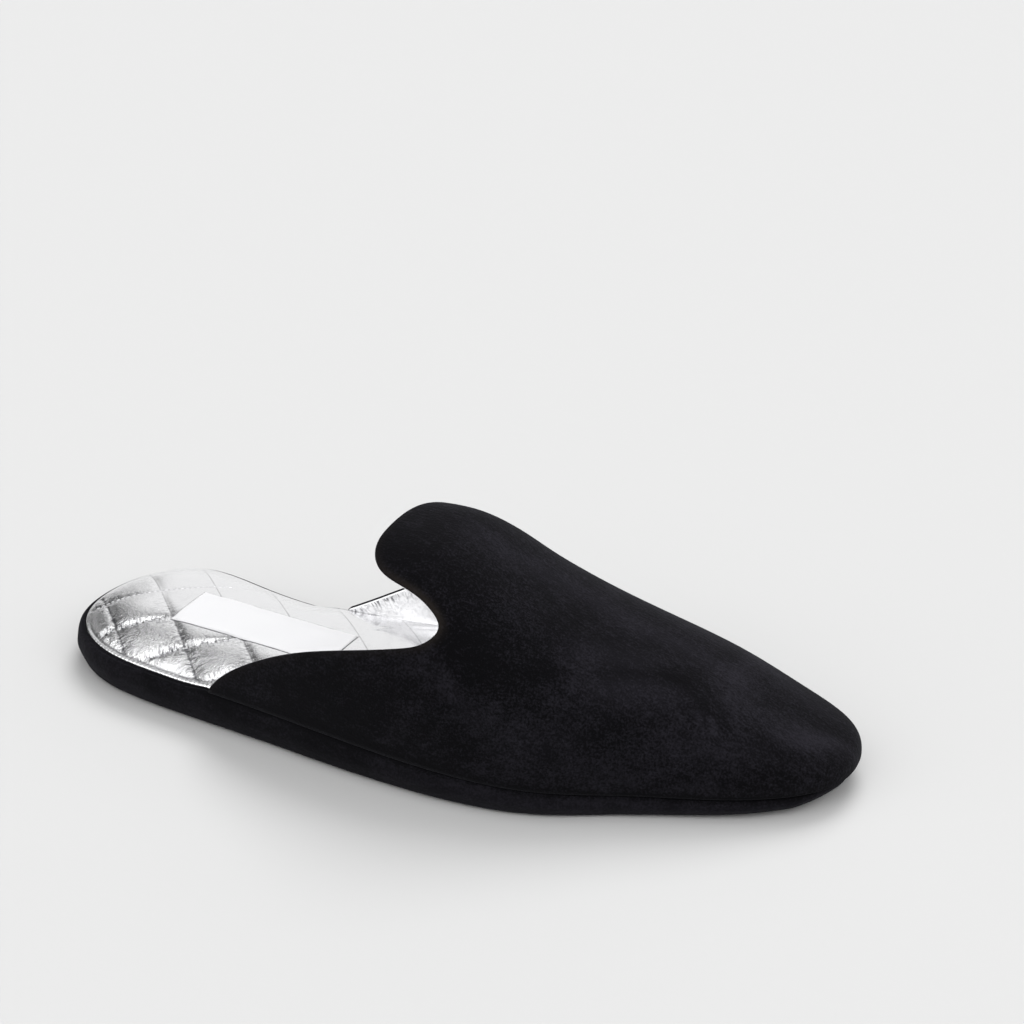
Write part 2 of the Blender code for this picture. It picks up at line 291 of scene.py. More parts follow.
def add_blend(tree, share, first, second):
    """Colour that moves from the first to the second, each a plain colour or another node's output."""
    ends = [end if isinstance(end, bpy.types.NodeSocket) else (*end, 1.0) for end in (first, second)]
    values = {"Factor": share, "A": ends[0], "B": ends[1]}
    return add_node(tree, "ShaderNodeMix", values, data_type="RGBA").outputs["Result"]


def add_bump(tree, shader, height, strength, distance):
    bump = add_node(tree, "ShaderNodeBump", {"Height": height, "Strength": strength, "Distance": distance})
    tree.links.new(bump.outputs["Normal"], shader.inputs["Normal"])


def new_material(name, values):
    """Material with constants set on its shader; returns it with its tree and shader."""
    material = bpy.data.materials.new(name)
    material.use_nodes = True
    shader = material.node_tree.nodes["Principled BSDF"]
    for socket, value in values.items():
        shader.inputs[socket].default_value = value
    return material, material.node_tree, shader


def new_group(name, inputs, outputs):
    """Empty shader group with float or vector sockets; returns the tree and its two ends."""
    tree = bpy.data.node_groups.new(name, "ShaderNodeTree")
    for socket, kind, value in inputs:
        made = tree.interface.new_socket(socket, in_out="INPUT", socket_type=kind)
        if value is not None:
            made.default_value = value
    for socket, kind in outputs:
        tree.interface.new_socket(socket, in_out="OUTPUT", socket_type=kind)
    return tree, tree.nodes.new("NodeGroupInput"), tree.nodes.new("NodeGroupOutput")


def make_suede_nap():
    """Short velvety nap: brushed patches, fibres that lie along the foot, and fine grain."""
    tree, given, result = new_group(
        "suede_nap",
        [
            ("Vector", "NodeSocketVector", None),
            ("Patch Scale", "NodeSocketFloat", 38.0),
            ("Grain Scale", "NodeSocketFloat", 1500.0),
        ],
        [("Nap", "NodeSocketFloat"), ("Height", "NodeSocketFloat")],
    )
    place = given.outputs["Vector"]
    patches = add_noise(tree, place, given.outputs["Patch Scale"], 5.0, 0.62, 0.9)
    drawn_out = {"Vector": place, "Scale": (0.35, 1.0, 0.8), "Rotation": (0.0, 0.0, 0.35)}
    lie = add_node(tree, "ShaderNodeMapping", drawn_out)
    fibres = add_noise(tree, lie.outputs["Vector"], 620.0, 3.0, 0.7)
    grain = add_noise(tree, place, given.outputs["Grain Scale"], 2.0, 0.6)
    spread = add_node(tree, "ShaderNodeMapRange", {"Value": patches, "From Min": 0.36, "From Max": 0.70})
    fibre_share = add_math(tree, "MULTIPLY", fibres, 1.20)
    patch_share = add_math(tree, "MULTIPLY", spread.outputs["Result"], 0.55)
    tone_shift = add_math(tree, "ADD", fibre_share, patch_share)
    grain_share = add_math(tree, "MULTIPLY_ADD", grain, 2.20, -1.71)
    tree.links.new(add_math(tree, "ADD", tone_shift, grain_share, clamp=True), result.inputs["Nap"])
    tree.links.new(add_math(tree, "MULTIPLY_ADD", grain, 0.6, fibre_share), result.inputs["Height"])
    return tree


suede_nap = make_suede_nap()


def make_suede(name, dark, pale, patch_scale, worn_edge=None):
    """Black suede: nap, brushed zones and painted shade along the seam move the colour between dark and
    pale; a worn edge adds brown nap.
    """
    material, tree, shader = new_material(name, {
        "Roughness": 0.92,
        "Specular IOR Level": 0.06,
        "Sheen Weight": 0.04,
        "Sheen Roughness": 0.55,
        "Sheen Tint": (0.62, 0.62, 0.70, 1.0),
    })
    place = add_node(tree, "ShaderNodeTexCoord")
    values = {"Vector": place.outputs["Object"], "Patch Scale": patch_scale}
    nap = add_node(tree, "ShaderNodeGroup", values, node_tree=suede_nap)
    # The stored shift adds brushed nap and painted shade along the seam over the sole.
    tone_shift = add_math(tree, "ADD", nap.outputs["Nap"], add_mask(tree, "tone_shift"), clamp=True)
    colour = add_blend(tree, tone_shift, dark, pale)
    if worn_edge is not None:
        colour = add_blend(tree, add_mask(tree, "edge_wear"), colour, worn_edge)
    tree.links.new(colour, shader.inputs["Base Color"])
    add_bump(tree, shader, nap.outputs["Height"], 0.55, 0.00035)
    return material


def heel_roll(stations):
    """For each point of a ring: 1 round the bare heel, 0 where the upper stands on the rim."""
    share = share_at(np.linspace(0.0, 1.0, stations + 1))
    outer, inner = [ease(ramp(share, end, start)) for start, end in (OUTER_RIM_RISE, INNER_RIM_RISE)]
    return np.concatenate([outer, inner[-2:0:-1]])


def toe_tuck(stations):
    """For each point of a ring: 1 at the toe tip, 0 from just behind it to the heel."""
    side = ease(ramp(share_at(np.linspace(0.0, 1.0, stations + 1)), *TOE_TUCK))
    return np.concatenate([side, side[-2:0:-1]])


def make_sole():
    """Rolled side from the smooth profile, flat underside with toe spring, well for the insole."""
    rows = np.linspace(0.0, len(SOLE_SIDE) - 1.0, SOLE_SIDE_ROWS)
    order = np.arange(len(SOLE_SIDE))
    insets = curve_through(order, column(SOLE_SIDE, "inset"))(rows)
    toe_insets = curve_through(order, column(SOLE_SIDE, "toe_inset"))(rows)
    heights = curve_through(order, column(SOLE_SIDE, "height"))(rows)
    drops = np.interp(rows, order, column(SOLE_SIDE, "drop"))
    heel_drops = np.interp(rows, order, column(SOLE_SIDE, "heel_drop"))
    bare = heel_roll(SOLE_STATIONS)
    tucked = toe_tuck(SOLE_STATIONS)
    run = np.linspace(0.0, 2.0 * math.pi, len(bare), endpoint=False)
    wave = sum(strength * np.sin(count * run + start) for count, strength, start in HAND_WAVES)
    rings = []
    profile = zip(insets, toe_insets, np.clip(heights, 0.0, 1.0), drops, heel_drops)
    for inset, toe_inset, height, drop, heel_drop in profile:
        swell = HAND_WAVE * wave * math.sin(math.pi * height)
        drawn_in = inset + (toe_inset - inset) * tucked
        ring = outline_ring((drawn_in - swell)[:, None], SOLE_STATIONS)
        share = station_of(ring[:, 0])
        level = toe_spring(share) + height * band_height(share) - drop - (heel_drop - drop) * bare
        rings.append(np.column_stack([ring, level]))
    well = outline_ring(RIM_INSET, SOLE_STATIONS)
    rings.append(np.column_stack([well, band_top(station_of(well[:, 0])) - WELL_DEPTH]))
    ring_size = len(well)
    faces = ring_cap(0, ring_size, upward=False)
    faces += ring_bands(len(rings), ring_size)
    faces += ring_cap((len(rings) - 1) * ring_size, ring_size, upward=True)
    suede = make_suede("sole_suede", SOLE_DARK, SOLE_PALE, SOLE_MOTTLE)
    points = np.concatenate(rings)
    piece = mesh_piece("suede_wrapped_sole", points, faces, suede)
    stations = station_of(points[:, 0])
    smoothed = np.interp(stations, column(BAND_TONE, "station"), column(BAND_TONE, "shift"))
    # Painted shade: the band's top darkens toward the seam with the upper.
    under_seam = np.clip((points[:, 2] - band_top(stations)) / SEAM_SHADE + 1.0, 0.0, 1.0)
    store(piece, "tone_shift", smoothed - PAINTED_SEAM_SHADE * under_seam)
    return piece


sole_piece = make_sole()
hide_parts("sole")
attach(sole_piece, "root")


# Insole
# A thin pad under silver foil leather, quilted in diamonds and sewn round its edge, glued in the well.
# The leather is cut as a flat pattern, held down along its seams and blown up between them as cloth.
INSOLE_EDGE_DROP = 0.0009
HEEL_CROWN = 0.0055
FORE_CROWN = 0.0026
CROWN_FALL = (0.40, 0.62)
CROWN_SHARPNESS = 3.0
SPINE_END = 0.030
SPINE_LAP = 0.010
INSOLE_EDGE = RIM_INSET + SEAT_GAP
EDGE_TUCK = 0.00022
EDGE_LIFT = 0.00120
EDGE_ROLL = 0.0006
WELT_SIDES = (-0.012, -0.020)
EDGE_STITCH = 0.0013
MESH_PITCH = 0.0015
PATTERN_REACH = 0.35
PATTERN_SIDE = 0.06
SEAM_SINK = 0.0009
SEAM_REACH = 0.0010
SEAM_STAGGER = 0.013
EDGE_GROOVE = 0.0008
PUFF_LIMIT = 0.0012
PUFF_SCALE = 8.0
PUFF_FRAMES = 20
PUFF_PRESSURE = 4.0
SMOOTH_PASSES = 5
PUCKER_DEPTH = 0.00004
PUCKER_REACH = 0.0030
PUCKER_START = 0.0006
PUCKER_LEAN = 0.25
PUCKER_LENGTHS = (0.0026, 0.0035, 0.0047)
GATHER_REACH = 0.0024
GATHER_HEEL = (0.42, 0.22)
GATHER_OUTER = (-0.02, -0.52)
GATHER_BACK = (0.09, 0.03)
GATHER_BACK_SIDE = (0.7, 0.1)
GATHER_BACK_SHARE = 0.8
GATHER_LEAST = 0.06
FIRM_SHARE = 0.13
LINE_REACH = 0.0008
LINE_LEAST = 0.70
# Painted shade along the seams: how deep the dark and the faint lines darken the foil.
LINE_DEPTHS = (("deep_shade_line", 0.60), ("faint_shade_line", 0.25))
LINE_EDGE = (0.40, 0.90)
FAINT_END = (0.036, 0.048)
EDGE_BEAD = 0.0016
EDGE_BEAD_DEPTH = 0.00008
CRACKLE_SHARE = 0.04
CRINKLE_SHARE = 0.50
STROKE_SHARE = 0.06
FOLD_DEPTH = 0.00045
FOLDS_ACROSS = 1300.0
FOLDS_ALONG = 520.0
FOIL_BRIGHT = (0.90, 0.90, 0.91)
FOIL_GREY = (0.83, 0.83, 0.85)
# Dark colour of the painted shade in fold lows, seams and edges.
FOIL_SHADE = (0.07, 0.07, 0.08)
FOIL_METAL = 0.95
FOIL_SCALES = (760.0, 260.0)
FOIL_GLOSS = (0.16, 0.27)
FOLD_SHADE_LEVELS = (0.50, 0.36)

# Columns: rows of points beside each seam, as steps of the mesh pitch out from it and along it
SEAM_ROWS = ((-1.0, 0.0), (-0.5, 0.5), (0.5, 0.5), (1.0, 0.0))

# Columns: compass angle of the seams' normal in degrees, offset of the first seam, pitch, number of seams,
# height of the thread's middle over the leather in radii
SeamRow = namedtuple("SeamRow", "normal first pitch count thread")
SEAMS = [
    SeamRow(normal=43.2, first=0.0030, pitch=0.0171, count=11, thread=-1.2),
    SeamRow(normal=124.0, first=-0.1630, pitch=0.0170, count=11, thread=-0.2),
]


def spine_offset(x, y):
    """Share of the way from the insole's spine (0) out to its edge (1), round both ends too."""
    spine_x = np.clip(x, SPINE_END, LAST_LENGTH - SPINE_END)
    spine_y = centre_line(spine_x / LAST_LENGTH)
    offset = np.abs(y - spine_y) / (half_width(spine_x / LAST_LENGTH) - INSOLE_EDGE)
    edge = outline_ring(INSOLE_EDGE, SOLE_STATIONS)
    for end, ahead in ((SPINE_END, -1.0), (LAST_LENGTH - SPINE_END, 1.0)):
        end_y = float(centre_line(end / LAST_LENGTH))
        rim_x = ahead * (edge[:, 0] - end)
        rim_y = edge[:, 1] - end_y
        rim = np.flatnonzero(rim_x > -SPINE_LAP)
        rim = rim[np.argsort(np.arctan2(rim_y[rim], rim_x[rim]))]
        angle = np.arctan2(y - end_y, ahead * (x - end))
        reach = np.interp(angle, np.arctan2(rim_y[rim], rim_x[rim]), np.hypot(rim_x[rim], rim_y[rim]))
        offset = np.where(ahead * (x - end) > 0.0, np.hypot(x - end, y - end_y) / reach, offset)
    return np.clip(offset, 0.0, 1.0)


def insole_top(x, y):
    """Height of the insole's crowned top over a plan point."""
    share = station_of(x)
    crown = HEEL_CROWN + (FORE_CROWN - HEEL_CROWN) * ease(ramp(share, *CROWN_FALL))
    return band_top(share) - INSOLE_EDGE_DROP + crown * (1.0 - spine_offset(x, y) ** CROWN_SHARPNESS)


def insole_ring(step):
    """Ring at a step in from the insole's edge, which fills the gap to the lining under the upper."""
    tuck = EDGE_TUCK * (1.0 - heel_roll(SOLE_STATIONS))
    return outline_ring(INSOLE_EDGE + step - tuck[:, None], SOLE_STATIONS)


def edge_held(plan):
    """1 where the upper stands over the edge, 0 round the bare heel."""
    share = station_of(plan[:, 0])
    outer = plan[:, 1] < centre_line(share)
    rise = np.where(outer[:, None], OUTER_RIM_RISE, INNER_RIM_RISE)
    return ramp(share, rise[:, 0], rise[:, 1])


def welt_share(plan):
    """1 along the outer edge, 0 round the back and on the inner side, where the edge is drawn flat."""
    return ramp(plan[:, 1] - centre_line(station_of(plan[:, 0])), *WELT_SIDES)


def edge_lift(plan):
    """Height that the edge gains where it is pushed up against the lining."""
    share = station_of(plan[:, 0])
    reach = np.maximum(half_width(share) - INSOLE_EDGE, SEAT_GAP)
    side = np.clip(np.abs(plan[:, 1] - centre_line(share)) / reach, 0.0, 1.0)
    return EDGE_LIFT * edge_held(plan) * side ** 5


def even_ring(step, spacing):
    """Ring at a step in from the insole's edge with points evenly spaced along it."""
    ring = insole_ring(step)
    closed = np.concatenate([ring, ring[:1]])
    run = np.concatenate([[0.0], np.cumsum(np.linalg.norm(np.diff(closed, axis=0), axis=1))])
    even = np.linspace(0.0, run[-1], int(run[-1] / spacing), endpoint=False)
    return np.column_stack([np.interp(even, run, closed[:, 0]), np.interp(even, run, closed[:, 1])])


def inside_ring(points, ring):
    """Which plan points lie inside a closed ring."""
    x, y = points[:, 0:1], points[:, 1:2]
    ax, ay = ring[:, 0], ring[:, 1]
    bx, by = np.roll(ax, -1), np.roll(ay, -1)
    spans = (ay > y) != (by > y)
    rise = np.where(by == ay, 1.0, by - ay)
    return np.sum(spans & (x < (bx - ax) * (y - ay) / rise + ax), axis=1) % 2 == 1


def nearest(points, others):
    """Distance of each plan point to the nearest of the others."""
    gap = points[:, None, :] - others[None, :, :]
    return np.sqrt(np.min(np.sum(gap * gap, axis=2), axis=1))


def seam_offsets(row):
    return row.first + row.pitch * np.arange(row.count)


def seam_frame(row):
    angle = math.radians(row.normal)
    return np.array([math.cos(angle), math.sin(angle)]), np.array([-math.sin(angle), math.cos(angle)])


def seam_distance(points, row):
    """Signed distance to the nearest seam of a family, and the run along it."""
    normal, along = seam_frame(row)
    across = points @ normal
    offsets = seam_offsets(row)
    index = np.argmin(np.abs(across[:, None] - offsets[None, :]), axis=1)
    return across - offsets[index], points @ along + SEAM_STAGGER * index


def quilt_pattern():
    """Flat pattern of the foil leather: points on the rings and seams, filled with an even lattice."""
    edge = even_ring(0.0, MESH_PITCH / 2.0)
    roll = even_ring(EDGE_ROLL, MESH_PITCH / 2.0)
    stitch = even_ring(EDGE_STITCH, MESH_PITCH)
    seams = []
    run = np.arange(-PATTERN_REACH, PATTERN_REACH, MESH_PITCH)
    for row, other in zip(SEAMS, reversed(SEAMS)):
        normal, along = seam_frame(row)
        for offset in seam_offsets(row):
            line = offset * normal + run[:, None] * along
            seams.append(line)
            steps = [MESH_PITCH * (out * normal + ahead * along) for out, ahead in SEAM_ROWS]
            beside = np.concatenate([line + step for step in steps])
            seams.append(beside[np.abs(seam_distance(beside, other)[0]) > 1.3 * MESH_PITCH])
    seams = np.concatenate(seams)
    seams = seams[inside_ring(seams, stitch)]
    seams = seams[nearest(seams, stitch) > 0.6 * MESH_PITCH]
    columns = np.arange(0.0, LAST_LENGTH, MESH_PITCH)
    rows = np.arange(-PATTERN_SIDE, PATTERN_SIDE, MESH_PITCH * math.sqrt(0.75))
    lattice = []
    for i, y in enumerate(rows):
        x = columns + (MESH_PITCH / 2.0) * (i % 2)
        lattice.append(np.column_stack([x, np.full_like(x, y)]))
    lattice = np.concatenate(lattice)
    lattice = lattice[inside_ring(lattice, stitch)]
    lattice = lattice[nearest(lattice, stitch) > 0.7 * MESH_PITCH]
    for row in SEAMS:
        lattice = lattice[np.abs(seam_distance(lattice, row)[0]) > 1.6 * MESH_PITCH]
    points = np.concatenate([edge, roll, stitch, seams, lattice])
    border = [list(range(len(edge)))]
    made = delaunay_2d_cdt([Vector(p) for p in points], [], border, 1, 1e-7)
    return np.array([tuple(p) for p in made[0]]), [tuple(f) for f in made[2]]


def held_points(plan):
    """Points that the seams and the sewn edge hold down."""
    stitch = insole_ring(EDGE_STITCH)
    held = ~inside_ring(plan, insole_ring(0.3 * EDGE_ROLL))
    held |= nearest(plan, even_ring(EDGE_STITCH, MESH_PITCH / 3.0)) < 0.25 * MESH_PITCH
    within = inside_ring(plan, stitch)
    for row in SEAMS:
        held |= within & (np.abs(seam_distance(plan, row)[0]) < 0.12 * MESH_PITCH)
    return held


def seam_sink(plan):
    """How far the thread pulls the leather down near seams and sewn edge."""
    edge_gap = nearest(plan, even_ring(EDGE_STITCH, MESH_PITCH / 2.0))
    sink = 0.9 * np.exp(-(edge_gap / EDGE_GROOVE) ** 2) * (1.0 - 0.8 * edge_held(plan)) * welt_share(plan)
    within = inside_ring(plan, insole_ring(EDGE_STITCH))
    for row in SEAMS:
        gap = np.abs(seam_distance(plan, row)[0])
        sink = np.maximum(sink, within * np.exp(-(gap / SEAM_REACH) ** 2))
    return SEAM_SINK * sink * pad_softness(plan)


def blow_up(plan, faces, height, floor):
    """Cloth simulation of the pad: pressure lifts the leather between the held points."""
    size = len(plan)
    top = np.column_stack([plan, height])
    under = np.column_stack([plan, floor])
    points = np.concatenate([top, under]) * PUFF_SCALE
    counts = {}
    for face in faces:
        for a, b in zip(face, face[1:] + face[:1]):
            counts[(a, b)] = counts.get((a, b), 0) + 1
    border = [pair for pair in counts if (pair[1], pair[0]) not in counts]
    closed = list(faces)
    closed += [tuple(v + size for v in reversed(face)) for face in faces]
    closed += [(b, a, a + size, b + size) for a, b in border]
    mesh = bpy.data.meshes.new("insole_cloth")
    mesh.from_pydata([tuple(p) for p in points], [], closed)
    cloth = bpy.data.objects.new("insole_cloth", mesh)
    bpy.context.scene.collection.objects.link(cloth)
    held = cloth.vertex_groups.new(name="held")
    fixed = np.flatnonzero(held_points(plan)).tolist() + list(range(size, 2 * size))
    held.add([int(v) for v in fixed], 1.0, "REPLACE")
    swell = cloth.modifiers.new("swell", "CLOTH")
    swell.settings.quality = 6
    swell.settings.mass = 0.2
    swell.settings.tension_stiffness = 12.0
    swell.settings.compression_stiffness = 12.0
    swell.settings.shear_stiffness = 6.0
    swell.settings.bending_stiffness = 1.5
    swell.settings.shrink_min = -0.010
    swell.settings.use_pressure = True
    swell.settings.uniform_pressure_force = PUFF_PRESSURE
    swell.settings.vertex_group_mass = "held"
    swell.settings.effector_weights.gravity = 0.0
    swell.collision_settings.use_collision = False
    swell.point_cache.frame_start = 1
    swell.point_cache.frame_end = PUFF_FRAMES
    for frame_number in range(1, PUFF_FRAMES + 1):
        bpy.context.scene.frame_set(frame_number)
    result = cloth.evaluated_get(bpy.context.evaluated_depsgraph_get()).to_mesh()
    moved = np.array([v.co for v in result.vertices])[:size] / PUFF_SCALE
    bpy.data.objects.remove(cloth, do_unlink=True)
    bpy.context.scene.frame_set(1)
    return moved


def even_out(step, faces, held):
    """Smooth the swelling from point to point; the held points stay where they are."""
    pairs = np.array([pair for face in faces for pair in zip(face, face[1:] + face[:1])])
    count = np.bincount(pairs[:, 0], minlength=len(step))[:, None]
    for _ in range(SMOOTH_PASSES):
        around = np.zeros_like(step)
        np.add.at(around, pairs[:, 0], step[pairs[:, 1]])
        step = np.where(held[:, None], step, 0.5 * step + 0.5 * around / count)
    return step


def puckers(plan):
    """Small gathers that run out from the seams and the sewn edge."""
    total = np.zeros(len(plan))
    within = inside_ring(plan, insole_ring(EDGE_STITCH))
    for turn, row in enumerate(SEAMS):
        gap, run = seam_distance(plan, row)
        ripple = np.zeros(len(plan))
        for k, length in enumerate(PUCKER_LENGTHS):
            lean = PUCKER_LEAN * np.abs(gap) * (1 if k % 2 else -1)
            ripple += np.sin(2.0 * math.pi * (run + lean) / length + 1.7 * k + 0.9 * turn)
        fade = np.exp(-np.abs(gap) / PUCKER_REACH) * (1.0 - np.exp(-np.abs(gap) / PUCKER_START))
        total += within * ripple * fade
    return PUCKER_DEPTH * total * gather_zone(plan)


def gather_zone(plan):
    """Strength of the gathers: full at the outer heel, where the foot has worked the leather."""
    share = station_of(plan[:, 0])
    side = (plan[:, 1] - centre_line(share)) / np.maximum(half_width(share), 1e-6)
    worked = ramp(share, *GATHER_HEEL) * ramp(side, *GATHER_OUTER)
    back = GATHER_BACK_SHARE * ramp(share, *GATHER_BACK) * ramp(side, *GATHER_BACK_SIDE)
    return GATHER_LEAST + (1.0 - GATHER_LEAST) * np.maximum(worked, back)


def pad_softness(plan):
    """How far the pad gives way to its seams: fully at the outer heel, little on the far side."""
    return FIRM_SHARE + (1.0 - FIRM_SHARE) * gather_zone(plan)


def edge_beads(plan):
    """Small beads that the edge stitches press into the welt outside them."""
    ring = even_ring(0.0, EDGE_BEAD / 4.0)
    outside = np.flatnonzero(~inside_ring(plan, insole_ring(EDGE_STITCH)))
    gap = plan[outside][:, None, :] - ring[None, :, :]
    index = np.argmin(np.sum(gap * gap, axis=2), axis=1)
    lift = np.zeros(len(plan))
    lift[outside] = EDGE_BEAD_DEPTH * np.sin(math.pi * index / 2.0)
    return lift * welt_share(plan)


def tent(gap):
    """1 on a line, falling to 0 within one step of the finished mesh."""
    return np.clip(1.0 - gap / LINE_REACH, 0.0, 1.0)


def mark_insole(piece):
    """Store where the foil is gathered and crinkled, and the painted shade along its seams, its sewn edge
    and the patch's border.
    """
    plan = np.array([v.co for v in piece.data.vertices])[:, :2] + LAST_MIDDLE[:2]
    clear = 1.0 - under_patch(plan)
    within = inside_ring(plan, insole_ring(EDGE_STITCH)) * clear
    zone = gather_zone(plan)
    store(piece, "crinkle", zone * clear)
    gaps = [np.abs(seam_distance(plan, row)[0]) for row in SEAMS]
    for index, gap in enumerate(gaps):
        store(piece, "gather_%d" % index, zone * within * np.exp(-gap / GATHER_REACH))
    # Painted shade: dark thin lines in the first family of seams, at the sewn edge and round the patch's
    # border, and a faint one in the second family.
    sewn = tent(nearest(plan, even_ring(EDGE_STITCH, MESH_PITCH / 4.0))) * (1.0 - edge_held(plan))
    sewn *= welt_share(plan)
    rim = tent(np.abs(beyond_patch(plan)))
    seam = within * tent(gaps[0]) * (LINE_LEAST + (1.0 - LINE_LEAST) * zone)
    store(piece, "deep_shade_line", np.maximum.reduce([seam, sewn, rim]))
    far_front = ramp(plan[:, 0], *FAINT_END) * (1.0 - welt_share(plan))
    store(piece, "faint_shade_line", within * tent(gaps[1]) * (1.0 - far_front))


PATCH_LENGTH = 0.0565
PATCH_WIDTH = 0.0185
PATCH_BACK_STATION = 0.0366
PATCH_CENTRE = -0.0032
PATCH_TURN = math.radians(-5.0)
PATCH_SINK = 0.0008
PATCH_PRESS = 0.0060
PATCH_COVER = 0.0020


def patch_place(along, across):
    """Plan point of the patch from its own length and width directions."""
    x = PATCH_BACK_STATION + along * math.cos(PATCH_TURN) - across * math.sin(PATCH_TURN)
    y = PATCH_CENTRE + (along - PATCH_LENGTH / 2.0) * math.sin(PATCH_TURN) + across * math.cos(PATCH_TURN)
    return x, y


def beyond_patch(plan):
    """How far plan points lie outside the border of the patch, below 0 inside it."""
    dx = plan[:, 0] - PATCH_BACK_STATION
    dy = plan[:, 1] - PATCH_CENTRE + PATCH_LENGTH / 2.0 * math.sin(PATCH_TURN)
    along = dx * math.cos(PATCH_TURN) + dy * math.sin(PATCH_TURN) - PATCH_LENGTH / 2.0
    across = -dx * math.sin(PATCH_TURN) + dy * math.cos(PATCH_TURN)
    return np.maximum(np.abs(along) - PATCH_LENGTH / 2.0, np.abs(across) - PATCH_WIDTH / 2.0)


def under_patch(plan):
    """1 well under the patch, falling to 0 at its border."""
    return np.clip(-beyond_patch(plan) / PATCH_COVER, 0.0, 1.0)


def make_foil_crackle():
    """Foil on soft leather: crackle cells, fine creases and dulled spots."""
    tree, given, result = new_group(
        "foil_crackle",
        [
            ("Vector", "NodeSocketVector", None),
            ("Cell Scale", "NodeSocketFloat", 520.0),
            ("Crease Scale", "NodeSocketFloat", 260.0),
        ],
        [("Height", "NodeSocketFloat"), ("Dull", "NodeSocketFloat"), ("Crinkle", "NodeSocketFloat")],
    )
    place = given.outputs["Vector"]
    bend = add_node(tree, "ShaderNodeTexNoise", {"Vector": place, "Scale": 220.0, "Detail": 2.0})
    values = {0: bend.outputs["Color"], 1: (0.0022, 0.0022, 0.0022)}
    shift = add_node(tree, "ShaderNodeVectorMath", values, operation="MULTIPLY")
    moved = add_node(tree, "ShaderNodeVectorMath", {0: place, 1: shift.outputs[0]}, operation="ADD")
    values = {"Vector": moved.outputs[0], "Scale": given.outputs["Cell Scale"]}
    cells = add_node(tree, "ShaderNodeTexVoronoi", values, feature="DISTANCE_TO_EDGE")
    values = {"Value": cells.outputs["Distance"], "From Max": 0.22}
    plates = add_node(tree, "ShaderNodeMapRange", values, interpolation_type="SMOOTHSTEP")
    creases = add_noise(tree, place, given.outputs["Crease Scale"], 6.0, 0.62, 0.8)
    height = add_math(tree, "MULTIPLY_ADD", plates.outputs["Result"], 0.35, creases)
    tree.links.new(height, result.inputs["Height"])
    spots = add_node(tree, "ShaderNodeMapRange", {"Value": creases, "From Min": 0.45, "From Max": 0.72})
    tree.links.new(spots.outputs["Result"], result.inputs["Dull"])
    tree.links.new(add_noise(tree, place, 1500.0, 3.0, 0.7), result.inputs["Crinkle"])
    return tree


foil_crackle = make_foil_crackle()


def add_strokes(tree, vector, turn, across, along):
    """Long fine folds in one direction of a plan: noise drawn out along the turned axis."""
    values = {"Vector": vector, "Rotation": (0.0, 0.0, turn), "Scale": (1.0 / along, 1.0 / across, 1.0)}
    lie = add_node(tree, "ShaderNodeMapping", values, vector_type="TEXTURE")
    return add_noise(tree, lie.outputs["Vector"], 1.0, 1.0, 0.55)


def make_foil(name, metal, dull, scales, crinkle_mask, relief, lines):
    """Silver foil leather with a crackle of cells and creases, whose two scales are given.

    The dull colour shows in the spots that the crinkle mask lets through. A relief row is its source, turn,
    folds across and along, and mask; painted shade darkens the lows of its folds. A line is its mask and
    how deep its painted shade darkens.
    """
    material, tree, shader = new_material(name, {"Metallic": metal})
    place = add_node(tree, "ShaderNodeTexCoord")
    values = {"Vector": place.outputs["Object"], "Cell Scale": scales[0], "Crease Scale": scales[1]}
    crackle = add_node(tree, "ShaderNodeGroup", values, node_tree=foil_crackle)
    crinkled = add_mask(tree, crinkle_mask)
    spots = add_math(tree, "MULTIPLY", crackle.outputs["Dull"], crinkled)
    tone = add_blend(tree, spots, FOIL_BRIGHT, dull)
    values = {"Value": crackle.outputs["Dull"], "To Min": FOIL_GLOSS[0], "To Max": FOIL_GLOSS[1]}
    gloss = add_node(tree, "ShaderNodeMapRange", values)
    tree.links.new(gloss.outputs["Result"], shader.inputs["Roughness"])
    height = add_math(tree, "MULTIPLY", crackle.outputs["Height"], CRACKLE_SHARE)
    crinkle = add_math(tree, "MULTIPLY", crinkled, CRINKLE_SHARE)
    height = add_math(tree, "MULTIPLY_ADD", crackle.outputs["Crinkle"], crinkle, height)
    for source, turn, across, along, mask in relief:
        folds = add_strokes(tree, place.outputs[source], turn, across, along)
        strength = add_mask(tree, mask)
        depth = add_math(tree, "MULTIPLY", strength, STROKE_SHARE)
        height = add_math(tree, "MULTIPLY_ADD", folds, depth, height)
        # Painted shade in the lows of the folds.
        values = {"Value": folds, "From Min": FOLD_SHADE_LEVELS[0], "From Max": FOLD_SHADE_LEVELS[1]}
        low = add_node(tree, "ShaderNodeMapRange", values)
        fold_shade = add_math(tree, "MULTIPLY", low.outputs["Result"], strength, clamp=True)
        tone = add_blend(tree, fold_shade, tone, FOIL_SHADE)
    # Painted shade along seams, sewn edge and patch border.
    for mask, depth in lines:
        values = {"From Min": LINE_EDGE[0], "From Max": LINE_EDGE[1], "To Max": depth}
        thin = add_node(tree, "ShaderNodeMapRange", {"Value": add_mask(tree, mask), **values})
        tone = add_blend(tree, thin.outputs["Result"], tone, FOIL_SHADE)
    tree.links.new(tone, shader.inputs["Base Color"])
    add_bump(tree, shader, height, 0.8, FOLD_DEPTH)
    return material


def well_floor(share):
    return band_top(share) - WELL_DEPTH + SEAT_GAP


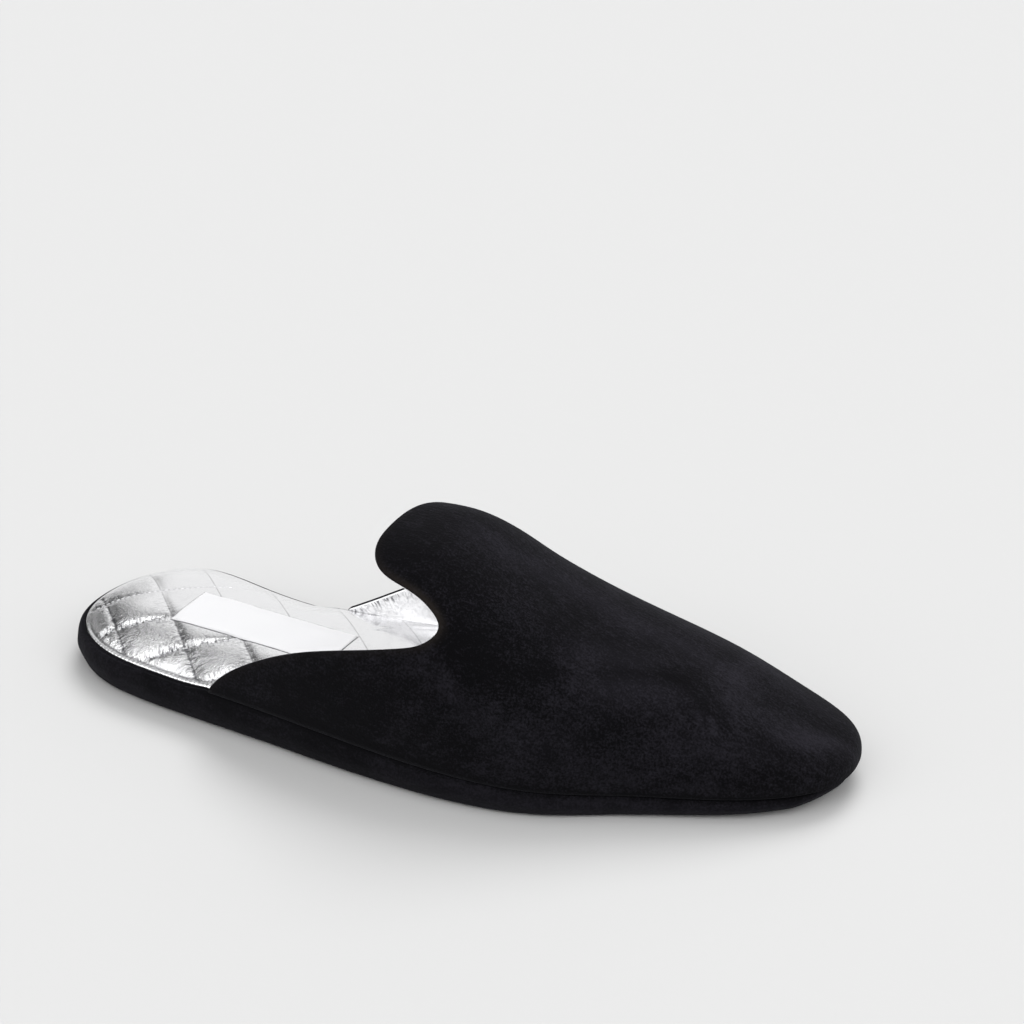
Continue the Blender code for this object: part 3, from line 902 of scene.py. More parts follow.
def close_pad(mesh):
    """Add the puckers and beads, then carry the edge down to the well and close the underside."""
    work = bmesh.new()
    work.from_mesh(mesh)
    plan = (np.array([v.co for v in work.verts]) + LAST_MIDDLE)[:, :2]
    ripple = puckers(plan) * (1.0 - under_patch(plan)) + edge_beads(plan)
    for vertex, lift in zip(work.verts, ripple):
        vertex.co.z += lift
    border = [e for e in work.edges if e.is_boundary]
    grown = bmesh.ops.extrude_edge_only(work, edges=border)["geom"]
    for vertex in [g for g in grown if isinstance(g, bmesh.types.BMVert)]:
        vertex.co.z = float(well_floor(station_of(vertex.co.x + LAST_MIDDLE[0])))
    base = [g for g in grown if isinstance(g, bmesh.types.BMEdge) and g.is_boundary]
    bmesh.ops.holes_fill(work, edges=base, sides=0)
    bmesh.ops.recalc_face_normals(work, faces=work.faces)
    work.to_mesh(mesh)
    work.free()
    mesh.shade_smooth()


def make_insole():
    """Crowned pad with its seams sunk, swollen between them as cloth and pressed flat under the patch."""
    plan, faces = quilt_pattern()
    crown = insole_top(plan[:, 0], plan[:, 1]) + edge_lift(plan)
    cover = under_patch(plan)
    rest = crown - seam_sink(plan) * (1.0 - cover)
    top = np.column_stack([plan, rest])
    swollen = blow_up(plan, faces, rest, well_floor(station_of(plan[:, 0])))
    step = even_out(swollen - top, faces, held_points(plan))
    reach = np.linalg.norm(step, axis=1)
    kept = np.minimum(1.0, PUFF_LIMIT / np.maximum(reach, 1e-9)) * pad_softness(plan)
    kept *= ease(np.clip(beyond_patch(plan) / PATCH_PRESS, 0.0, 1.0))
    top = top + step * kept[:, None]
    top[:, 2] += (crown + SEAT_GAP - PATCH_SINK - top[:, 2]) * cover
    folds = []
    for index, row in enumerate(SEAMS):
        folds.append(("Object", math.radians(row.normal), FOLDS_ACROSS, FOLDS_ALONG, "gather_%d" % index))
    leather = make_foil(
        "quilted_foil_leather", FOIL_METAL, FOIL_GREY, FOIL_SCALES, "crinkle", folds, LINE_DEPTHS
    )
    pad = mesh_piece("quilted_insole", top, faces, leather)
    finer = pad.modifiers.new("finer", "SUBSURF")
    finer.levels = 1
    finer.render_levels = 1
    smooth = bpy.data.meshes.new_from_object(pad.evaluated_get(bpy.context.evaluated_depsgraph_get()))
    pad.modifiers.clear()
    pad.data = smooth
    close_pad(smooth)
    return pad


insole_piece = make_insole()
mark_insole(insole_piece)
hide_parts("insole")
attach(insole_piece, "root")


# Patch
# A plain white satin patch on the heel of the insole, left blank, with its edges turned under.
# It is glued flat over the quilting and its border is pressed thin.
PATCH_THICKNESS = 0.0003
PATCH_CELLS = (96, 32)
PATCH_CORNER = 0.0004
PATCH_RIM = 0.007
PATCH_AIR = 0.0001
PATCH_EDGE_SHARE = 0.25
PATCH_EVEN_PASSES = 12
DROP_HEIGHT = 0.1
SATIN_WHITE = (0.53, 0.53, 0.54)

# Columns: height of each soft ripple, its turn by x and by y
PATCH_RIPPLES = ((0.00012, 150.0, 40.0), (0.00010, 310.0, -260.0))


def make_satin():
    material, tree, shader = new_material("white_satin", {
        "Base Color": (*SATIN_WHITE, 1.0),
        "Roughness": 0.38,
        "Sheen Weight": 0.15,
    })
    place = add_node(tree, "ShaderNodeTexCoord")
    values = {"Vector": place.outputs["Object"], "Rotation": (0.0, 0.0, -PATCH_TURN)}
    turn = add_node(tree, "ShaderNodeMapping", values)
    values = {"Vector": turn.outputs["Vector"], "Scale": 900.0, "Distortion": 0.4}
    rib = add_node(tree, "ShaderNodeTexWave", values, bands_direction="Y")
    add_bump(tree, shader, rib.outputs["Fac"], 0.12, 0.0001)
    return material


def drop_on(tree, x, y):
    """Point of a surface straight below a plan point of the last, or None past its edge."""
    start = Vector((x - LAST_MIDDLE[0], y - LAST_MIDDLE[1], DROP_HEIGHT))
    return tree.ray_cast(start, Vector((0.0, 0.0, -1.0)))[0]


def bordered(cells, rim):
    """Even steps from 0 to 1 with a narrow first and last one."""
    return np.concatenate([[0.0], np.linspace(rim, 1.0 - rim, cells - 1), [1.0]])


def make_patch(surface):
    """Thin grid laid over the quilting with a rounded border; top and underside share the border."""
    cells_along, cells_across = PATCH_CELLS
    along = bordered(cells_along, PATCH_RIM)
    across = 2.0 * bordered(cells_across, 2.0 * PATCH_RIM) - 1.0
    grid_along, grid_across = np.meshgrid(along, across, indexing="ij")
    x, y = patch_place(grid_along * PATCH_LENGTH, grid_across * PATCH_WIDTH / 2.0)
    end_gap = np.minimum(grid_along, 1.0 - grid_along) * PATCH_LENGTH
    side_gap = (1.0 - np.abs(grid_across)) * PATCH_WIDTH / 2.0
    border = np.clip(np.minimum(end_gap, side_gap) / PATCH_CORNER, 0.0, 1.0)
    body = np.sqrt(np.clip(1.0 - (1.0 - border) ** 2, 0.0, 1.0))
    tree = BVHTree.FromObject(surface, bpy.context.evaluated_depsgraph_get())
    pad = np.zeros(x.shape)
    for spot in np.ndindex(x.shape):
        pad[spot] = drop_on(tree, x[spot], y[spot]).z + PATCH_AIR
    low = np.maximum(insole_top(x, y) + SEAT_GAP - PATCH_SINK, pad)
    for _ in range(PATCH_EVEN_PASSES):
        around = np.pad(low, 1, mode="edge")
        even = (around[:-2, 1:-1] + around[2:, 1:-1] + around[1:-1, :-2] + around[1:-1, 2:]) / 4.0
        low = np.maximum(even, pad)
    soft = sum(height * np.sin(by_x * x + by_y * y) for height, by_x, by_y in PATCH_RIPPLES)
    top = low + PATCH_THICKNESS * (PATCH_EDGE_SHARE + (1.0 - PATCH_EDGE_SHARE) * body) + soft * body
    upper_side = np.stack([x, y, top], axis=-1).reshape(-1, 3)
    under_side = np.stack([x, y, low], axis=-1).reshape(-1, 3)
    row_size = cells_across + 1
    size = len(upper_side)
    faces = []
    for i in range(cells_along):
        for j in range(cells_across):
            corner = i * row_size + j
            quad = (corner, corner + row_size, corner + row_size + 1, corner + 1)
            faces.append(quad)
            faces.append(tuple(v + size for v in reversed(quad)))
    rim = [i * row_size for i in range(cells_along + 1)]
    rim += [cells_along * row_size + j for j in range(1, row_size)]
    rim += [i * row_size + cells_across for i in range(cells_along - 1, -1, -1)]
    rim += [j for j in range(cells_across - 1, 0, -1)]
    for a, b in zip(rim, rim[1:] + rim[:1]):
        faces.append((b, a, a + size, b + size))
    return mesh_piece("blank_patch", np.concatenate([upper_side, under_side]), faces, make_satin())


patch_piece = make_patch(insole_piece)
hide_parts("label_patch")
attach(patch_piece, "root")


# Quilting thread
# Silver-grey thread sewn along the seams of the insole in short running stitches that sink into the seam.
# Each stitch is a small bead; the flat inner side and the place under the patch have none.
STITCH_PITCH = 0.0017
STITCH_LENGTH = 0.0013
THREAD_RADIUS = 0.00013
THREAD_GREY = (0.52, 0.52, 0.54)
THREAD_BRIGHT = (0.80, 0.80, 0.81)
THREAD_CLEAR = 0.0012
THREAD_SIDE = 0.55
THREAD_FRONT = 0.044
PATH_STEP = 0.001
SHORTEST_PATH = 4


def make_thread():
    material, tree, shader = new_material("silver_thread", {"Metallic": 0.25, "Roughness": 0.45})
    place = add_node(tree, "ShaderNodeTexCoord")
    twist = add_noise(tree, place.outputs["Object"], 2600.0, 1.0)
    tree.links.new(add_blend(tree, twist, THREAD_GREY, THREAD_BRIGHT), shader.inputs["Base Color"])
    return material


def make_stitch_tree(thread):
    """Geometry Nodes: a bead of thread at each step along the given paths."""
    tree = bpy.data.node_groups.new("running_stitches", "GeometryNodeTree")
    tree.interface.new_socket("Geometry", in_out="INPUT", socket_type="NodeSocketGeometry")
    for name in ("Pitch", "Length", "Radius"):
        tree.interface.new_socket(name, in_out="INPUT", socket_type="NodeSocketFloat")
    tree.interface.new_socket("Geometry", in_out="OUTPUT", socket_type="NodeSocketGeometry")
    given = tree.nodes.new("NodeGroupInput")
    result = tree.nodes.new("NodeGroupOutput")
    values = {"Curve": given.outputs["Geometry"], "Length": given.outputs["Pitch"]}
    steps = add_node(tree, "GeometryNodeResampleCurve", values, mode="LENGTH")
    bead = add_node(tree, "GeometryNodeMeshUVSphere", {"Segments": 8, "Rings": 6, "Radius": 1.0})
    half = add_math(tree, "MULTIPLY", given.outputs["Length"], 0.5)
    radius = given.outputs["Radius"]
    stretch = add_node(tree, "ShaderNodeCombineXYZ", {"X": half, "Y": radius, "Z": radius})
    tangent = add_node(tree, "GeometryNodeInputTangent")
    values = {"Vector": tangent.outputs["Tangent"]}
    turn = add_node(tree, "FunctionNodeAlignRotationToVector", values, axis="X")
    lay = add_node(tree, "GeometryNodeInstanceOnPoints", {
        "Points": steps.outputs["Curve"],
        "Instance": bead.outputs["Mesh"],
        "Rotation": turn.outputs["Rotation"],
        "Scale": stretch.outputs["Vector"],
    })
    real = add_node(tree, "GeometryNodeRealizeInstances", {"Geometry": lay.outputs["Instances"]})
    values = {"Geometry": real.outputs["Geometry"], "Material": thread}
    finish = add_node(tree, "GeometryNodeSetMaterial", values)
    tree.links.new(finish.outputs["Geometry"], result.inputs["Geometry"])
    return tree


def seam_paths(surface):
    """Seam lines laid on the finished insole, as lists of points in the part's frame."""
    tree = BVHTree.FromObject(surface, bpy.context.evaluated_depsgraph_get())
    run = np.arange(-PATTERN_REACH, PATTERN_REACH, PATH_STEP)
    inner = insole_ring(EDGE_STITCH + THREAD_CLEAR)
    paths = []
    for row in SEAMS:
        normal, along = seam_frame(row)
        raised = Vector((0.0, 0.0, row.thread * THREAD_RADIUS))
        for offset in seam_offsets(row):
            line = offset * normal + run[:, None] * along
            line = line[inside_ring(line, inner)]
            share = line[:, 0] / LAST_LENGTH
            side = (line[:, 1] - centre_line(share)) / half_width(share)
            flat = (side > THREAD_SIDE) | ((side > 0.0) & (line[:, 0] > THREAD_FRONT))
            clear = (beyond_patch(line) > 0.0) & ~flat
            breaks = np.flatnonzero(np.diff(clear.astype(int))) + 1
            for part, shown in zip(np.split(line, breaks), np.split(clear, breaks)):
                if len(part) > SHORTEST_PATH and shown[0]:
                    hits = [drop_on(tree, x, y) for x, y in part]
                    paths.append([hit + raised for hit in hits if hit is not None])
    return paths


def make_stitches(surface):
    curve = bpy.data.curves.new("stitch_paths", "CURVE")
    curve.dimensions = "3D"
    for path in seam_paths(surface):
        spline = curve.splines.new("POLY")
        spline.points.add(len(path) - 1)
        for point, place in zip(spline.points, path):
            point.co = (*place, 1.0)
    guide = bpy.data.objects.new("stitch_paths", curve)
    bpy.context.scene.collection.objects.link(guide)
    tree = make_stitch_tree(make_thread())
    sew = guide.modifiers.new("sew", "NODES")
    sew.node_group = tree
    sizes = {"Pitch": STITCH_PITCH, "Length": STITCH_LENGTH, "Radius": THREAD_RADIUS}
    for item in tree.interface.items_tree:
        if item.in_out == "INPUT" and item.name in sizes:
            sew[item.identifier] = sizes[item.name]
    mesh = bpy.data.meshes.new_from_object(guide.evaluated_get(bpy.context.evaluated_depsgraph_get()))
    bpy.data.objects.remove(guide, do_unlink=True)
    mesh.name = "quilting_thread"
    mesh.shade_smooth()
    stitches = bpy.data.objects.new("quilting_thread", mesh)
    bpy.context.scene.collection.objects.link(stitches)
    return stitches


thread_piece = make_stitches(insole_piece)
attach(thread_piece, "root")


# Upper
# One vamp of black suede drawn over the last, with a raised tongue between two notches and two wings.
# Its foot is sewn into the seam over the sole and its topline is turned and rolled.
INSTEP_HEIGHT = 0.0554
FEATHER_INSET = 0.0010
SECTION_FULLNESS = 2.6
SUEDE_THICKNESS = 0.0011
WALL = 0.0018
UPPER_TUCK = 0.006
EDGE_ROUNDS = 5
UPPER_COLUMNS = 220
UPPER_ROWS = 120
GIRTH_LENGTH = 0.075
SUEDE_DARK = (0.0006, 0.0005, 0.0009)
SUEDE_PALE = (0.0100, 0.0093, 0.0125)
SUEDE_BROWN = (0.020, 0.016, 0.013)
SUEDE_MOTTLE = 38.0
EDGE_WEAR_REACH = 0.0013
EDGE_WEAR = 0.10
NOTCH_WEAR = 0.45
NOTCH_GIRTH = -0.46
NOTCH_BREADTH = 0.10

# Columns: station is a share of the length, height of the instep height, shift of the ball width
CrestRow = namedtuple("CrestRow", "station height shift")
CREST = [
    CrestRow(station=0.200, height=1.000, shift=0.040),
    CrestRow(station=0.280, height=1.000, shift=0.042),
    CrestRow(station=0.360, height=1.000, shift=0.046),
    CrestRow(station=0.440, height=0.980, shift=0.052),
    CrestRow(station=0.520, height=0.968, shift=0.052),
    CrestRow(station=0.600, height=0.805, shift=0.045),
    CrestRow(station=0.680, height=0.652, shift=0.034),
    CrestRow(station=0.760, height=0.536, shift=0.022),
    CrestRow(station=0.840, height=0.424, shift=0.011),
    CrestRow(station=0.910, height=0.277, shift=0.003),
    CrestRow(station=0.965, height=0.169, shift=0.000),
    CrestRow(station=1.000, height=0.000, shift=0.000),
]

# Columns: girth from -1 at the outer foot over the crest to 1 at the inner foot, station as a share
EdgeRow = namedtuple("EdgeRow", "girth station")
TOPLINE = [
    EdgeRow(girth=-1.000, station=0.2536),
    EdgeRow(girth=-0.934, station=0.2728),
    EdgeRow(girth=-0.837, station=0.3200),
    EdgeRow(girth=-0.755, station=0.3756),
    EdgeRow(girth=-0.684, station=0.4424),
    EdgeRow(girth=-0.622, station=0.5104),
    EdgeRow(girth=-0.551, station=0.5452),
    EdgeRow(girth=-0.484, station=0.5540),
    EdgeRow(girth=-0.434, station=0.5384),
    EdgeRow(girth=-0.400, station=0.4988),
    EdgeRow(girth=-0.356, station=0.4648),
    EdgeRow(girth=-0.289, station=0.4520),
    EdgeRow(girth=-0.123, station=0.4496),
    EdgeRow(girth=0.003, station=0.4524),
    EdgeRow(girth=0.139, station=0.4592),
    EdgeRow(girth=0.250, station=0.4690),
    EdgeRow(girth=0.340, station=0.4850),
    EdgeRow(girth=0.400, station=0.5170),
    EdgeRow(girth=0.450, station=0.5550),
    EdgeRow(girth=0.515, station=0.5720),
    EdgeRow(girth=0.590, station=0.5560),
    EdgeRow(girth=0.680, station=0.5090),
    EdgeRow(girth=0.760, station=0.4650),
    EdgeRow(girth=0.830, station=0.4226),
    EdgeRow(girth=0.888, station=0.3872),
    EdgeRow(girth=0.960, station=0.3433),
    EdgeRow(girth=1.000, station=0.3180),
]

# Soft creases and swells: ends as (station share, girth), half breadth and height in metres
CreaseRow = namedtuple("CreaseRow", "start end breadth height")
CREASES = [
    CreaseRow(start=(0.565, -0.50), end=(0.615, -0.86), breadth=0.0050, height=-0.00050),
    CreaseRow(start=(0.590, -0.46), end=(0.700, -0.62), breadth=0.0075, height=-0.00040),
    CreaseRow(start=(0.600, -0.60), end=(0.690, -0.78), breadth=0.0090, height=0.00045),
    CreaseRow(start=(0.680, -0.34), end=(0.830, -0.46), breadth=0.0080, height=-0.00035),
    CreaseRow(start=(0.520, -0.22), end=(0.640, -0.28), breadth=0.0080, height=0.00030),
    CreaseRow(start=(0.585, 0.50), end=(0.640, 0.84), breadth=0.0055, height=-0.00045),
    CreaseRow(start=(0.610, 0.46), end=(0.720, 0.60), breadth=0.0085, height=-0.00035),
    CreaseRow(start=(0.640, 0.66), end=(0.740, 0.78), breadth=0.0090, height=0.00040),
    CreaseRow(start=(0.860, -0.72), end=(0.920, -0.50), breadth=0.0060, height=-0.00025),
]

# Brushed nap and painted seam shade: ends as (station share, girth), half breadth in metres, shift of the
# nap's tone
BrushRow = namedtuple("BrushRow", "start end breadth shift")
NAP_AND_SEAM_SHADE = [
    BrushRow(start=(0.715, -0.31), end=(0.760, -0.25), breadth=0.0090, shift=0.40),
    BrushRow(start=(0.665, -0.76), end=(0.700, -0.70), breadth=0.0085, shift=0.16),
    BrushRow(start=(0.740, -0.42), end=(0.800, -0.36), breadth=0.0070, shift=0.25),
    BrushRow(start=(0.690, 0.10), end=(0.850, 0.02), breadth=0.0065, shift=0.34),
    BrushRow(start=(0.540, 0.00), end=(0.640, 0.10), breadth=0.0075, shift=0.34),
    BrushRow(start=(0.945, -0.30), end=(0.975, -0.10), breadth=0.0060, shift=0.46),
    BrushRow(start=(0.880, -0.20), end=(0.940, -0.18), breadth=0.0090, shift=0.22),
    BrushRow(start=(0.840, -0.62), end=(0.890, -0.52), breadth=0.0080, shift=0.22),
    BrushRow(start=(0.474, -0.10), end=(0.478, -0.09), breadth=0.0022, shift=0.40),
    BrushRow(start=(0.470, -0.20), end=(0.540, -0.26), breadth=0.0150, shift=-0.28),
    BrushRow(start=(0.671, -0.43), end=(0.811, -0.19), breadth=0.0040, shift=-0.30),
    BrushRow(start=(0.580, -0.50), end=(0.665, -0.57), breadth=0.0060, shift=-0.30),
    BrushRow(start=(0.562, -0.62), end=(0.605, -0.73), breadth=0.0045, shift=0.25),
    BrushRow(start=(0.330, -0.92), end=(0.540, -0.84), breadth=0.0140, shift=-0.26),
    # Painted shade along the seam where the upper's feet meet the sole.
    BrushRow(start=(0.260, -1.00), end=(0.990, -1.00), breadth=0.0022, shift=-0.45),
    BrushRow(start=(0.320, 1.00), end=(0.990, 1.00), breadth=0.0022, shift=-0.45),
    BrushRow(start=(0.836, -0.385), end=(0.842, -0.450), breadth=0.0009, shift=0.55),
    BrushRow(start=(0.850, -0.385), end=(0.859, -0.485), breadth=0.0009, shift=0.55),
    BrushRow(start=(0.730, 0.42), end=(0.800, 0.34), breadth=0.0100, shift=0.28),
    BrushRow(start=(0.640, 0.72), end=(0.720, 0.64), breadth=0.0090, shift=0.25),
    BrushRow(start=(0.880, 0.35), end=(0.940, 0.25), breadth=0.0080, shift=0.25),
    BrushRow(start=(0.380, 0.90), end=(0.540, 0.84), breadth=0.0140, shift=-0.24),
]

crest_stations = column(CREST, "station")
crest_share = curve_through(sweep(crest_stations), column(CREST, "height"))
crest_shift = curve_through(crest_stations, column(CREST, "shift"))


def upper_point(share, girth):
    """Outer face of the upper: a full arch over the foot at each station."""
    half = half_width(share) * (1.0 - FEATHER_INSET / (BALL_WIDTH / 2.0))
    angle = (np.asarray(girth) + 1.0) * math.pi / 2.0
    across = np.cos(angle)
    rise = np.sin(angle)
    power = SECTION_FULLNESS
    reach = (np.abs(across) ** power + np.abs(rise) ** power) ** (-1.0 / power)
    middle = centre_line(share)
    crest_line = middle + crest_shift(share) * BALL_WIDTH
    foot = np.where(across >= 0.0, middle - half, middle + half)
    x = FEATHER_INSET + share * (LAST_LENGTH - FEATHER_INSET)
    y = crest_line + (foot - crest_line) * np.abs(across) * reach
    z = band_top(share) + np.maximum(crest_share(sweep(share)), 0.0) * INSTEP_HEIGHT * rise * reach
    return np.stack([x, y, z], axis=-1)


def topline_points(columns, tuck=0.0):
    """Girth and station of evenly spaced points along the topline; the tuck carries the feet lower."""
    girth = np.array(column(TOPLINE, "girth"))
    station = np.array(column(TOPLINE, "station"))
    corner = upper_point(station, girth)
    run = np.concatenate([[0.0], np.cumsum(np.linalg.norm(np.diff(corner, axis=0), axis=1))])
    even = np.linspace(0.0, run[-1], columns + 1)
    girths = curve_through(run, girth)(even)
    girths[0] = -1.0 - tuck
    girths[-1] = 1.0 + tuck
    return girths, curve_through(run, station)(even)


def upper_grid(columns, rows, tuck=0.0):
    """Stations and girths of a grid from the topline to just before the toe tip."""
    girth, station = topline_points(columns, tuck)
    start = sweep(station)
    steps = np.linspace(0.0, 1.0, rows, endpoint=False)[:, None]
    share = share_at(start + (1.0 - start) * steps)
    return share, np.broadcast_to(girth, share.shape)


def unit(vectors):
    return vectors / np.maximum(np.linalg.norm(vectors, axis=-1, keepdims=True), 1e-12)


def grid_normals(points):
    """Outward normals of a grid of points from its own rows and columns."""
    along = np.gradient(points, axis=0)
    around = np.gradient(points, axis=1)
    return unit(np.cross(along, around))


def soft_marks(share, girth, rows, value):
    """Sum of soft strokes laid over the developed upper."""
    place = np.stack([share * LAST_LENGTH, girth * GIRTH_LENGTH], axis=-1)
    total = np.zeros(share.shape)
    scale = np.array([LAST_LENGTH, GIRTH_LENGTH])
    for row in rows:
        start = np.array(row.start) * scale
        leg = np.array(row.end) * scale - start
        part = np.clip(((place - start) @ leg) / (leg @ leg), 0.0, 1.0)
        gap = np.linalg.norm(place - start - part[..., None] * leg, axis=-1)
        total += getattr(row, value) * np.exp(-(gap / row.breadth) ** 2)
    return total


def crease_relief(share, girth):
    """Height of the soft creases over the smooth upper."""
    return soft_marks(share, girth, CREASES, "height")


def upper_shell(name, columns, rows, tuck, outer_depth, inner_depth, outer_relief, inner_relief, material):
    """Closed wall between two depths under the upper's outer face, with a rolled topline and flat feet."""
    share, girth = upper_grid(columns, rows, tuck)
    face = upper_point(share, girth)
    normal = grid_normals(face)
    tip = upper_point(np.array([1.0]), np.array([0.0]))
    tip_normal = np.array([[1.0, 0.0, 0.0]])
    outer = face + normal * (outer_relief(share, girth) - outer_depth)[..., None]
    inner = face + normal * (inner_relief(share, girth) - inner_depth)[..., None]
    tangent = unit(np.gradient(face[0], axis=0))
    beyond = np.cross(tangent, normal[0])
    beyond *= np.sign(np.sum(beyond * (face[0] - face[1]), axis=-1, keepdims=True))
    middle = (outer[0] + inner[0]) / 2.0
    radius = np.linalg.norm(outer[0] - inner[0], axis=-1, keepdims=True) / 2.0
    rolls = []
    for k in range(1, EDGE_ROUNDS + 1):
        angle = math.pi * k / (EDGE_ROUNDS + 1)
        rolls.append(middle + radius * (math.cos(angle) * normal[0] + math.sin(angle) * beyond))
    across = columns + 1
    layers = [outer[r] for r in range(rows - 1, -1, -1)] + rolls + [inner[r] for r in range(rows)]
    points = np.concatenate(layers + [tip - tip_normal * outer_depth, tip - tip_normal * inner_depth])
    outer_tip = len(points) - 2
    inner_tip = len(points) - 1
    faces = []
    for k in range(len(layers) - 1):
        for i in range(columns):
            low = k * across + i
            faces.append((low, low + 1, low + across + 1, low + across))
    last = (len(layers) - 1) * across
    for i in range(columns):
        faces.append((outer_tip, i + 1, i))
        faces.append((inner_tip, last + i, last + i + 1))
    for side in (0, columns):
        strip = []
        for r in range(rows - 1):
            a = (rows - 1 - r) * across + side
            b = (rows - 2 - r) * across + side
            c = (rows + EDGE_ROUNDS + r + 1) * across + side
            d = (rows + EDGE_ROUNDS + r) * across + side
            strip.append((a, b, c, d))
        strip.append((side, outer_tip, inner_tip, last + side))
        strip.append(tuple((rows - 1 + k) * across + side for k in range(EDGE_ROUNDS + 2)))
        faces += [tuple(reversed(f)) for f in strip] if side else strip
    piece = mesh_piece(name, points, faces, material)
    for foot in piece.data.polygons[-2 * (rows + 1):]:
        foot.use_smooth = False
    work = bmesh.new()
    work.from_mesh(piece.data)
    bmesh.ops.recalc_face_normals(work, faces=work.faces)
    work.to_mesh(piece.data)
    work.free()
    return piece


def flat_relief(share, girth):
    return np.zeros(share.shape)


def below_topline(points):
    """Distance of points to the topline, with the run and the girth of its nearest point."""
    girth, station = topline_points(1500)
    edge = upper_point(station, girth)
    run = np.concatenate([[0.0], np.cumsum(np.linalg.norm(np.diff(edge, axis=0), axis=1))])
    gap = np.zeros(len(points))
    near = np.zeros(len(points), dtype=int)
    for chunk in np.array_split(np.arange(len(points)), 200):
        away = np.linalg.norm(points[chunk][:, None, :] - edge[None], axis=2)
        near[chunk] = np.argmin(away, axis=1)
        gap[chunk] = away.min(axis=1)
    return gap, run[near], girth[near]


def mark_edge_wear(piece):
    """Store how close each point lies to the topline, strongest in the outer notch."""
    gap, _, girth = below_topline(np.array([v.co for v in piece.data.vertices]) + LAST_MIDDLE)
    notch = np.exp(-((girth - NOTCH_GIRTH) / NOTCH_BREADTH) ** 2)
    store(piece, "edge_wear", np.exp(-(gap / EDGE_WEAR_REACH) ** 2) * (EDGE_WEAR + NOTCH_WEAR * notch))


def mark_nap_and_seam_shade(piece, columns, rows):
    """Store the brushed zones and the painted shade along the seam on the outer face; the other faces keep
    their plain nap.
    """
    share, girth = upper_grid(columns, rows)
    shift = soft_marks(share, girth, NAP_AND_SEAM_SHADE, "shift")[::-1].ravel()
    values = np.zeros(len(piece.data.vertices))
    values[:len(shift)] = shift
    store(piece, "tone_shift", values)


upper_suede = make_suede("upper_suede", SUEDE_DARK, SUEDE_PALE, SUEDE_MOTTLE, worn_edge=SUEDE_BROWN)
upper_piece = upper_shell(
    "suede_upper", UPPER_COLUMNS, UPPER_ROWS, UPPER_TUCK, 0.0, SUEDE_THICKNESS,
    crease_relief, flat_relief, upper_suede,
)
mark_edge_wear(upper_piece)
mark_nap_and_seam_shade(upper_piece, UPPER_COLUMNS, UPPER_ROWS)
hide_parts("upper")
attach(upper_piece, "root")


# Lining
# Silver foil leather glued inside the suede and sewn to it along the topline.
# The thread gathers it into short puckers below the edge, and its foot is tucked into the seam.
LINING_COLUMNS = 300
LINING_ROWS = 90
LINING_GAP = 0.00004
LINING_TUCK = 0.008
LINING_PUCKER = 0.00007
LINING_PUCKER_REACH = 0.0040
LINING_GATHER_REACH = 0.0022
LINING_MOTTLE_REACH = 0.0065
LINING_GREY = (0.40, 0.40, 0.42)
LINING_METAL = 0.25
LINING_SCALES = (620.0, 720.0)
LINING_FOLDS = (330.0, 950.0)
LINING_GATHERS = (0.0027, 0.0036, 0.0051)
LINING_LEAN = 0.15
LINING_SEAM_REACH = 0.0008
LINING_REST = 1.2
SLOW_WAVE = 190.0
SLOW_SHARE = 0.6
SLOW_REACH = 0.004
GATHER_LEVELS = (0.04, 0.90)
MOTTLE_LEVELS = (0.15, 0.85)
LINING_BULGE = 0.0035
BULGE_START = 0.36
BULGE_END = 0.48
BULGE_GIRTH = 0.07


def lining_relief(share, girth):
    """Gathers below the topline, slow waves deeper in the shoe and a padded roll at the foot."""
    below, run, _ = below_topline(upper_point(share, girth).reshape(-1, 3))
    below = below.reshape(share.shape)
    run = run.reshape(share.shape)
    gather = np.zeros(share.shape)
    for k, length in enumerate(LINING_GATHERS):
        lean = LINING_LEAN * below * (1 if k % 2 else -1)
        gather += np.sin(2.0 * math.pi * (run + lean) / length + 2.0 * k)
    fade = np.exp(-below / LINING_PUCKER_REACH) * (1.0 - np.exp(-below / LINING_SEAM_REACH))
    slow = np.sin(SLOW_WAVE * share * LAST_LENGTH + 3.0 * girth) * np.sin(9.0 * girth + 1.0)
    slow = SLOW_SHARE * slow * (1.0 - np.exp(-below / SLOW_REACH))
    roll = np.exp(-((1.0 - np.abs(girth)) / BULGE_GIRTH) ** 2)
    foot = LINING_BULGE * ramp(share, BULGE_START, BULGE_END) * roll
    return -LINING_PUCKER * (gather * fade + slow + LINING_REST) - foot


def mark_lining(piece, columns, rows):
    """UV of run along the topline and depth below it, with the strength of the gathers and dull spots."""
    share, girth = upper_grid(columns, rows)
    below, run, _ = below_topline(upper_point(share, girth).reshape(-1, 3))
    size = len(piece.data.vertices)
    inner = (rows + EDGE_ROUNDS) * (columns + 1)
    face = slice(inner, inner + rows * (columns + 1))
    place = np.zeros((size, 2))
    place[face, 0] = run
    place[face, 1] = below
    fades = (
        ("gather_top", GATHER_LEVELS, LINING_GATHER_REACH),
        ("mottle", MOTTLE_LEVELS, LINING_MOTTLE_REACH),
    )
    for name, (least, added), reach in fades:
        strength = np.zeros(size)
        strength[face] = least + added * np.exp(-(below / reach) ** 2)
        store(piece, name, strength)
    uv = piece.data.uv_layers.new(name="topline_run")
    corners = np.array([loop.vertex_index for loop in piece.data.loops])
    uv.data.foreach_set("uv", place[corners].astype(np.float32).ravel())


